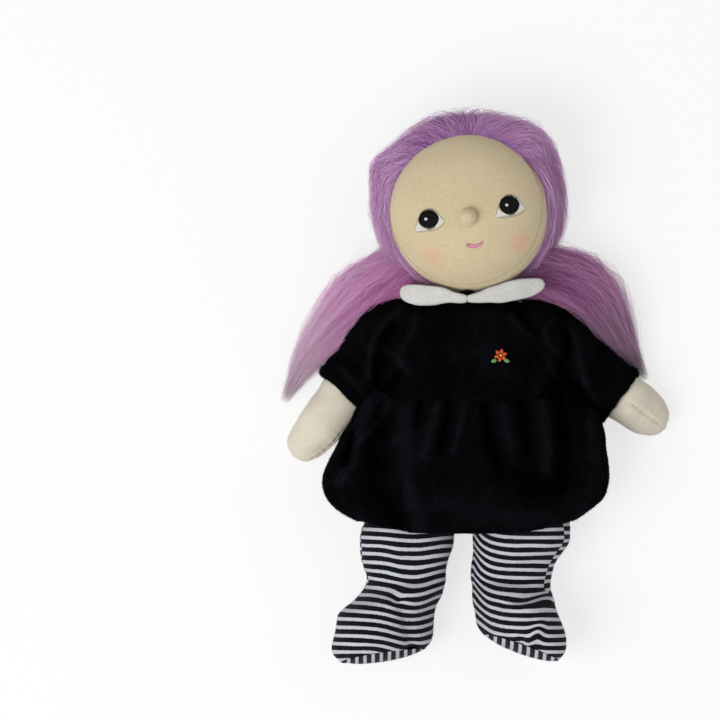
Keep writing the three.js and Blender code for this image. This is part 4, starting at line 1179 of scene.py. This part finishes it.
def cutHalf(name, whole, sign, foldShading):  # one half of a piece, closed along the doll's middle
    half = addPiece(name, whole.data.copy())
    pickOnly(half)
    bpy.ops.object.mode_set(mode="EDIT")
    bpy.ops.mesh.select_all(action="SELECT")
    bpy.ops.mesh.bisect(plane_co=tuple(inFrame((0, 90, 20))), plane_no=(1, 0, 0), use_fill=True,
                        clear_inner=sign > 0, clear_outer=sign < 0)
    bpy.ops.object.mode_set(mode="OBJECT")
    bpy.ops.object.shade_smooth_by_angle(angle=math.radians(55))
    # the velvet's painted fold shading, stored on the half's points
    writeFoldShading(half, foldShading(inDoll(readPoints(half))))
    return dress(half, velvet)


def outsideOf(away):  # keep only the outside of the cloth, off the floor
    return lambda p, n: ((n * away(p)).sum(axis=1) > 0.05) & (p[:, 2] > 0.6)


chestCloth = BVHTree.FromObject(top, bpy.context.evaluated_depsgraph_get())
for side, made in armSides.items():
    half = cutHalf(f"dress_top_{side}", top, made["sign"], topFoldShading)
    nap = pileOn(half, gown["topNap"], velvet, outsideOf(awayOnTop), topFoldShading)
    reach = np.array((made["sign"] * 16 * mm, 0, 0))
    for piece in (half, nap):
        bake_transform(piece)
    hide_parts("dress_bodice", f"sleeve_{side}")
bpy.data.objects.remove(top)

# the skirt in two halves, each closed along the doll's middle
for side, sign in (("left", 1), ("right", -1)):
    half = cutHalf(f"skirt_{side}", skirt, sign, skirtFoldShading)
    aroundTrunk = outsideOf(lambda p: outward(p, trunk["z"]))
    nap = pileOn(half, gown["skirtNap"], velvet, aroundTrunk, skirtFoldShading)
    for piece in (half, nap):
        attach(piece, "torso")
        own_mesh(piece)
    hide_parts("dress_skirt")
bpy.data.objects.remove(skirt)

# Cuffs: the sleeve's end turned back on itself; they go with the arm
for side, made in armSides.items():
    cuff = softCopy(f"cuff_{side}", [f"sleeve_cuff_{side}"], gown["cuffVoxel"], gown["cuffSmooth"])
    spots = inDoll(readPoints(cuff))
    change = 0.5 + 0.5 * lumps(spots, 6, 29)
    writePoints(cuff, inFrame(spots + readNormals(cuff) * change[:, None] - armAxis(made) * made["shorter"]))
    dress(cuff, velvet)
    nap = pileOn(cuff, gown["cuffNap"], velvet, lambda p, n: p[:, 2] > 0.5)
    for piece in (cuff, nap):
        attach(piece, f"arm_{side}")
    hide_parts(f"sleeve_cuff_{side}")
print("sleeves ready")

# Collar: two puffy fleece leaves that meet below the chin
fleece = fleeceMaterial()
collar = dict(wide=8.6, thick=3.4, cut=dict(left=0.032, right=0.028),
              nap=dict(count=4000, long=0.3, wide=0.12), edgeNap=dict(count=2500, long=0.8, wide=0.13),
              edgeVoxel=0.4, edgeSmooth=2, edgeFull=0.6, edgeLift=(0, 1.9, 4.0))
# the middle of each leaf in the picture from the front to its round end, and its share of the width
collarLines = {
    "right": [(468, 299.6, 0.34), (455, 297.8, 0.5), (444, 296.4, 0.74),
              (428, 295.6, 0.97), (411, 293.8, 1), (400, 292, 0.95)],
    "left": [(466.2, 299.6, 0.34), (479, 297.6, 0.5), (490, 295.2, 0.74),
             (507, 292, 0.97), (526, 288.3, 1), (544, 283.5, 0.95)],
}
collarHeights = (42, 41.8, 41.5, 40.5, 38.5, 35.5)


def collarPoint(side, u, v):
    line = np.array([(*fromPhoto(px, py), share) for px, py, share in collarLines[side]])
    at = (0, 0.16, 0.33, 0.56, 0.8, 1)
    route = through(np.column_stack([at, line, collarHeights]))
    sign = 1 if side == "left" else -1
    around = u * fullTurn
    middle = route(v)
    step = route(np.clip(v + 0.01, 0, 1)) - route(np.clip(v - 0.01, 0, 1))
    along = unit(step[:, :2])
    across = np.stack([-along[:, 1], along[:, 0]], axis=1) * sign
    ends = np.sqrt(np.clip((1 - v ** 9) * (1 - (1 - v) ** 60), 0, 1))
    half = collar["wide"] / 2 * ends * middle[:, 2]
    out = half * boxy(np.cos(around), 2.6)
    up = collar["thick"] / 2 * ends * boxy(np.sin(around), 2.8)
    return np.column_stack([middle[:, :2] + across * out[:, None], middle[:, 3] + up + 0.18 * out])


for side in ("left", "right"):
    leaf = wrapGrid(f"collar_leaf_{side}", 48, 64, lambda u, v: collarPoint(side, u, v))
    swell(leaf, lambda spots: 0.25 * lumps(spots, 9, 31))
    dress(leaf, fleece)
    nap = pileOn(leaf, collar["nap"], fleece)
    for piece in (leaf, nap):
        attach(piece, "torso")
    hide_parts(f"collar_{side}")
binding = softCopy("neck_edge", ["neck_binding"], collar["edgeVoxel"], collar["edgeSmooth"])
spots = inDoll(readPoints(binding))
front = bell(spots[:, 0], 4.5) * smoothStep((spots[:, 2] - 28) / 6)
spots = spots + readNormals(binding) * (collar["edgeFull"] * front)[:, None]
spots = spots + front[:, None] * np.array(collar["edgeLift"])
writePoints(binding, inFrame(spots))
dress(binding, velvet)
bindingNap = pileOn(binding, collar["edgeNap"], velvet)
for piece in (binding, bindingNap):
    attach(piece, "torso")
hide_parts("neck_binding")
print("collar ready")

# Chest embroidery: a plain sprig, one flower and two leaves
sprig = dict(x=14, y=128, petal=2.1, leaf=2.6)


def onChest(x, y, height):
    x, y, height = np.broadcast_arrays(np.asarray(x, float), np.asarray(y, float), np.asarray(height, float))
    spots = []
    for px, py, h in zip(x, y, height):
        hit = chestCloth.ray_cast(tuple(inFrame((px, py, 80))), (0, 0, -1))[0]
        spots.append((px, py, inDoll(hit)[2] + h + 0.15))
    return np.array(spots)


def petalLine(x0, y0, angle, long, bow):
    t = np.linspace(0, 1, 7)
    c, s = math.cos(angle), math.sin(angle)
    side = bow * np.sin(math.pi * t)
    high = 0.5 * np.sin(math.pi * t) ** 0.5
    return onChest(x0 + c * long * t - s * side, y0 + s * long * t + c * side, high)


flower = (sprig["x"] - 0.2, sprig["y"] + 0.6)
petals, leaves, heart = [], [], []
for k in range(6):
    angle = k * math.pi / 3 + 0.3
    for bow in (-0.45, 0, 0.45):
        start = (flower[0] + 0.75 * math.cos(angle), flower[1] + 0.75 * math.sin(angle))
        petals.append(petalLine(*start, angle, sprig["petal"] * (1 - abs(bow) * 0.25), bow))
for angle, x0 in ((math.pi * 1.08, -1.6), (-math.pi * 0.08, 1.4)):
    for bow in (-0.5, 0, 0.5):
        long = sprig["leaf"] * (1 - abs(bow) * 0.2)
        leaves.append(petalLine(flower[0] + x0, flower[1] - 2.0, angle, long, bow))
for k in range(5):
    angle = k * math.pi / 5
    t = np.linspace(-0.6, 0.6, 7)
    x, y = flower[0] + t * math.cos(angle), flower[1] + t * math.sin(angle)
    heart.append(onChest(x, y, 0.55 - 0.5 * t ** 2))
sprigParts = (
    ("sprig_petals", petals, 0.5, ("#e2622e", "#c44a1e")),
    ("sprig_leaves", leaves, 0.5, ("#7fae6a", "#5d8f4e")),
    ("sprig_heart", heart, 0.42, ("#e9c33f", "#c99d22")),
)
for name, threads, wide, tints in sprigParts:
    piece = embroidery(name, threads, wide, threadMaterial(f"{name}_thread", *tints))
    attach(piece, "torso")
    if name == "sprig_petals":
        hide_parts("chest_motif")
print("embroidery ready")

# Hair: long pile swept back from the face, and two bunches
hair = dict(side=7, top=8, deep=32.5, round=2.4, inset=2.6, strands=5600, fluff=5000, length=25, wide=0.33,
            fluffWide=0.17, locks=520, bends=5, part=math.radians(86), radius=38)
lilac = hairMaterial("lilac_long_pile", "#85499a", "#dd9cd6", "#f8d6f4", "#eed6eb")
lilacGround = groundMaterial("lilac_pile_ground", "#b07ab4", "#dfabd9")
hairHalves = np.array((head["width"] / 2 + hair["side"] - hair["inset"],
                       head["height"] / 2 + hair["top"] - hair["inset"], hair["deep"]))


def hairline(around):  # angle from the tip of the face at which the hair starts, least at the top
    high, toLeft = np.sin(around), np.cos(around)
    lowest = np.where(high > 0, 70 + 8 * (1 - high), 78 - 8 * high) + 7 * np.maximum(toLeft, 0) ** 4
    swept = 8.5 * bell(around - math.radians(38), math.radians(24))
    return np.radians(lowest - swept)


def tufts(around):  # where the pile stands fuller at the two upper corners, in mm
    turn = np.mod(around, fullTurn)
    rightTuft = 3.8 * bell(turn - math.radians(146), math.radians(10))
    leftTuft = 3.6 * bell(turn - math.radians(36), math.radians(19))
    return rightTuft + leftTuft - 1.6 * bell(turn - math.radians(190), math.radians(16))


def capPoint(around, out, grow):
    start = hairline(around)
    inner = ball(headHalves + 0.2, head["round"], around, out)
    outer = ball(hairHalves, hair["round"], around, out)
    share = smoothStep((out - start + 0.03) / math.radians(17))
    edge = 1 - smoothStep((out - start) / math.radians(30))  # the front edge ends higher, above the bunches
    share = share * smoothStep((outer[..., 1] + 29 - 12 * edge) / 8)
    point = inner + (outer - inner) * share[..., None]
    puff = tufts(around) * share * np.clip(np.cos(out - math.radians(100)), 0, 1)
    point = leanHead(point + unit(point) * (grow + puff + 0.7 * (share - 1))[..., None])
    point[..., 2] = np.maximum(point[..., 2], 0.15)
    return point, share


capGround = wrapGrid("hair_ground", 140, 70, lambda u, v: capPoint(
    u * fullTurn, np.radians(58) + v * np.radians(120), np.zeros(len(u)))[0])
dress(capGround, lilacGround)
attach(capGround, "head")
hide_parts("hair_cap")


# the nearest lock for every root, so that fibres run together into locks
def pickLocks(roots, count):
    locks = roots[rng.choice(len(roots), count, replace=False)]
    return locks, np.argmin(((roots[:, None] - locks[None]) ** 2).sum(axis=2), axis=1)


# fibres on the cap, rooted between two angles behind the hairline and swept from the parting into locks
def capStrands(name, count, wide, outLow, outHigh, rise, stray):
    around, out = np.empty(0), np.empty(0)
    while len(around) < count:
        newAround = rng.uniform(0, fullTurn, 4000)
        newOut = hairline(newAround) + np.radians(rng.uniform(outLow, outHigh, 4000))
        share = capPoint(newAround, newOut + 0.12, np.zeros(4000))[1]
        good = (share > 0.3) & (newOut < math.radians(172))
        around, out = np.append(around, newAround[good]), np.append(out, newOut[good])
    around, out = around[:count], out[:count]
    flat = np.stack([np.cos(around), np.sin(around), 1.3 * out], axis=1)
    locks, nearest = pickLocks(flat, hair["locks"])
    guideAround, guideOut = np.arctan2(locks[:, 1], locks[:, 0])[nearest], (locks[:, 2] / 1.3)[nearest]
    guideAround = around + np.angle(np.exp(1j * (guideAround - around)))
    fromPart = np.angle(np.exp(1j * (guideAround - hair["part"])))
    turn = 0.85 * np.tanh(fromPart / 0.4) + rng.normal(0, 0.13, hair["locks"])[nearest]
    turn += rng.normal(0, stray, count)
    long = hair["length"] * rng.uniform(0.65, 1.15, count) / hair["radius"]
    t = np.linspace(0, 1, hair["bends"])[None]
    gather = 1 - 0.45 * t
    a = guideAround[:, None] + (around - guideAround)[:, None] * gather + (1.2 * turn * long)[:, None] * t
    back = np.maximum(1 - 0.72 * np.abs(turn), 0.1) * long
    o = guideOut[:, None] + (out - guideOut)[:, None] * gather + back[:, None] * t
    lift = rise * rng.uniform(0.2, 1, count)[:, None]
    bow = np.sin(math.pi * np.minimum(t * 0.6 + 0.02, 0.6))
    grow = -0.4 + lift * bow + rng.normal(0, stray, (count, hair["bends"])) * t * 2
    paths = capPoint(a, np.minimum(o, math.radians(176)), grow)[0]
    lockShade = rng.normal(0.5, 0.3, hair["locks"])[nearest] + 0.22 * lumps(paths[:, 0], 9, 41)
    shade = np.clip(0.72 * lockShade + 0.28 * rng.random(count), 0.02, 0.98)
    piece = fibres(name, paths, wide * rng.uniform(0.7, 1.2, count), shade, lilac)
    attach(piece, "head")


capStrands("hair_front", hair["strands"], hair["wide"], outLow=-2.5, outHigh=16, rise=2.8, stray=0.05)
capStrands("hair_back", hair["strands"], hair["wide"], outLow=12, outHigh=88, rise=2.6, stray=0.05)
capStrands("hair_fluff_front", hair["fluff"], hair["fluffWide"], outLow=-2, outHigh=26, rise=5.5, stray=0.34)
capStrands("hair_fluff_back", hair["fluff"], hair["fluffWide"], outLow=16, outHigh=80, rise=6.0, stray=0.36)
print("hair cap ready")

bunch = dict(strands=5200, fluff=4200, wide=0.3, fluffWide=0.17, locks=220, bends=6, tipShare=0.9,
             tipFrom=0.62, stray=0.05, fluffStray=0.45, coreLong=0.8, coreWide=0.38, coreDeep=0.36,
             tieVoxel=0.5, tieSmooth=2)
bunches = {  # x, y, z of the middle and the width and depth of each bunch from root to tip, in mm
    # the left bunch's tints, also used for its ground, are darker than the right's: painted shade for the
    # bunch that lies in shade
    "left": dict(sign=1, tints=("#642e5d", "#c276b4", "#dfa6d2", "#b3a0ae"), route=[
        (17, 166.5, 23, 22, 14), (30, 161.5, 19.5, 25.5, 17), (41, 158.3, 15, 26.5, 18),
        (47.5, 155, 14, 27, 19), (52, 150.5, 13, 25, 18), (56, 145, 12, 22, 17), (60.3, 138.4, 11, 19.5, 14),
        (65.1, 131.6, 10, 15, 11), (68.4, 127, 9, 9.5, 7), (71, 123.2, 8, 5, 3.5)]),
    "right": dict(sign=-1, tints=("#a54a94", "#ee9cd9", "#fad4f2", "#f4e6f0"), route=[
        (17, 167, 23, 22, 14), (28.5, 161.2, 19.5, 25.5, 17), (37.5, 154.7, 15, 26, 18),
        (43, 151, 14, 26, 19), (48.5, 146, 13, 23, 18), (54, 141.2, 12, 19, 16), (60, 135.8, 11, 15.5, 14),
        (65, 129.8, 10, 13, 11), (69, 123.6, 9, 9.5, 8), (71.5, 118.8, 8.5, 6.5, 5), (73.5, 115, 8, 3.5, 3)]),
}


def clearOfSleeve(points, made, slack):
    side = armSides["left" if made["sign"] > 0 else "right"]
    across = np.array((made["sign"] * math.sin(side["drop"]), math.cos(side["drop"])))
    start = np.array((made["sign"] * trunk["shoulderX"], trunk["shoulderY"]))
    along = (points[..., :2] - start) @ armAxis(side)[:2]
    over = (points[..., :2] - start) @ across
    limit = 14.6 - 2.6 * smoothStep((along - 14) / 16) - 5 * smoothStep((along - side["sleeve"]) / 6)
    limit = limit - 0.5 * np.maximum(-along, 0) + slack
    near = smoothStep((along + 22) / 12) * smoothStep((side["sleeve"] + 9 - along) / 6)
    moved = points.copy()
    moved[..., :2] += across * (near * np.maximum(limit - over, 0))[..., None]
    return moved


# fibres along a bunch: each starts and ends in a lock of its own place across the bunch
def bunchStrands(name, made, route, count, wide, stray, pile):
    radius, angle = np.sqrt(rng.random(count)), rng.uniform(0, fullTurn, count)
    spot = np.stack([radius * np.cos(angle), radius * np.sin(angle)], axis=1)
    lockSpot, nearest = pickLocks(spot, bunch["locks"])
    end = np.clip(rng.normal(0.83, 0.15, count), 0.45, 1.1)
    t = np.linspace(0, 1, bunch["bends"])[None] * end[:, None]
    draw = smoothStep(t / 0.9)[..., None] * 0.5
    offset = spot[:, None] * (1 - draw) + lockSpot[nearest][:, None] * draw
    offset = offset * (1 + stray * rng.uniform(-0.2, 1, (count, 1, 1)) * smoothStep(t / 0.6)[..., None])
    swing = rng.uniform(0, fullTurn, (2, count, 1))
    rate = rng.uniform(6, 20, (count, 1))
    waves = [(0.07 + 0.25 * stray) * np.sin(t * rate + swing[k]) for k in (0, 1)]
    here = route(np.minimum(t, 1.0))
    ahead = route(np.minimum(t + 0.02, 1.0)) - route(np.clip(t - 0.02, 0, 0.96))
    along = unit(ahead[..., :2])
    over = np.maximum(t - 1.0, 0) * 70
    across = here[..., 3] / 2 * (offset[..., 0] + waves[0])
    x = here[..., 0] + along[..., 0] * over - along[..., 1] * across
    y = here[..., 1] + along[..., 1] * over + along[..., 0] * across
    rise = here[..., 2] + here[..., 4] / 2 * (offset[..., 1] + waves[1])
    paths = np.stack([made["sign"] * x, y, np.maximum(rise, 0.25 + 0.6 * radius[:, None])], axis=-1)
    paths = clearOfSleeve(paths, made, rng.uniform(-0.6, 1.6, count)[:, None])
    # painted shade on the fibres beside the sleeve and painted light on the far side of the bunch
    lockShade = rng.normal(0.5, 0.32, bunch["locks"])[nearest] + 0.2 * spot[:, 0]  # darker beside the sleeve
    shade = np.clip(0.72 * lockShade + 0.28 * rng.random(count), 0.02, 0.98)
    return fibres(name, paths, wide * rng.uniform(0.7, 1.2, count), shade, pile)


for side, made in bunches.items():
    places = np.array(made["route"], float)
    steps = np.linalg.norm(np.diff(places[:, :3], axis=0), axis=1)
    route = through(np.column_stack([np.append(0, np.cumsum(steps)) / steps.sum(), places]))
    pile = hairMaterial(f"mauve_long_pile_{side}", *made["tints"], bunch["tipShare"], bunch["tipFrom"])
    strands = bunchStrands(f"pigtail_{side}_strands", made, route, bunch["strands"], bunch["wide"],
                           bunch["stray"], pile)
    fluff = bunchStrands(f"pigtail_{side}_fluff", made, route, bunch["fluff"], bunch["fluffWide"],
                         bunch["fluffStray"], pile)

    def corePoint(u, v):
        place = v * bunch["coreLong"]
        size = route(place)
        ahead = route(place + 0.02) - route(np.maximum(place - 0.02, 0))
        way = unit(ahead[:, :2])
        shut = np.sqrt(np.clip(1 - np.abs(2 * v - 1) ** 6, 0, 1))
        across = bunch["coreWide"] * size[:, 3] * shut * np.cos(u * fullTurn)
        rise = bunch["coreDeep"] * size[:, 4] * shut * np.sin(u * fullTurn)
        point = np.stack([made["sign"] * (size[:, 0] - way[:, 1] * across), size[:, 1] + way[:, 0] * across,
                          np.maximum(size[:, 2] + rise, 0.4)], axis=1)
        return clearOfSleeve(point, made, 0.8)

    core = wrapGrid(f"pigtail_{side}_core", 40, 60, corePoint)
    dress(core, groundMaterial(f"mauve_pile_ground_{side}", made["tints"][0], made["tints"][1]))
    tie = softCopy(f"hair_tie_{side}_elastic", [f"hair_tie_{side}"], bunch["tieVoxel"], bunch["tieSmooth"])
    dress(tie, groundMaterial(f"plum_elastic_{side}", "#54455e", "#7c6a88"))
    for piece in (strands, fluff, core, tie):
        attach(piece, f"pigtail_{side}")
    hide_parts(f"pigtail_{side}")
    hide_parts(f"hair_tie_{side}")
print("bunches ready")

low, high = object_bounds()
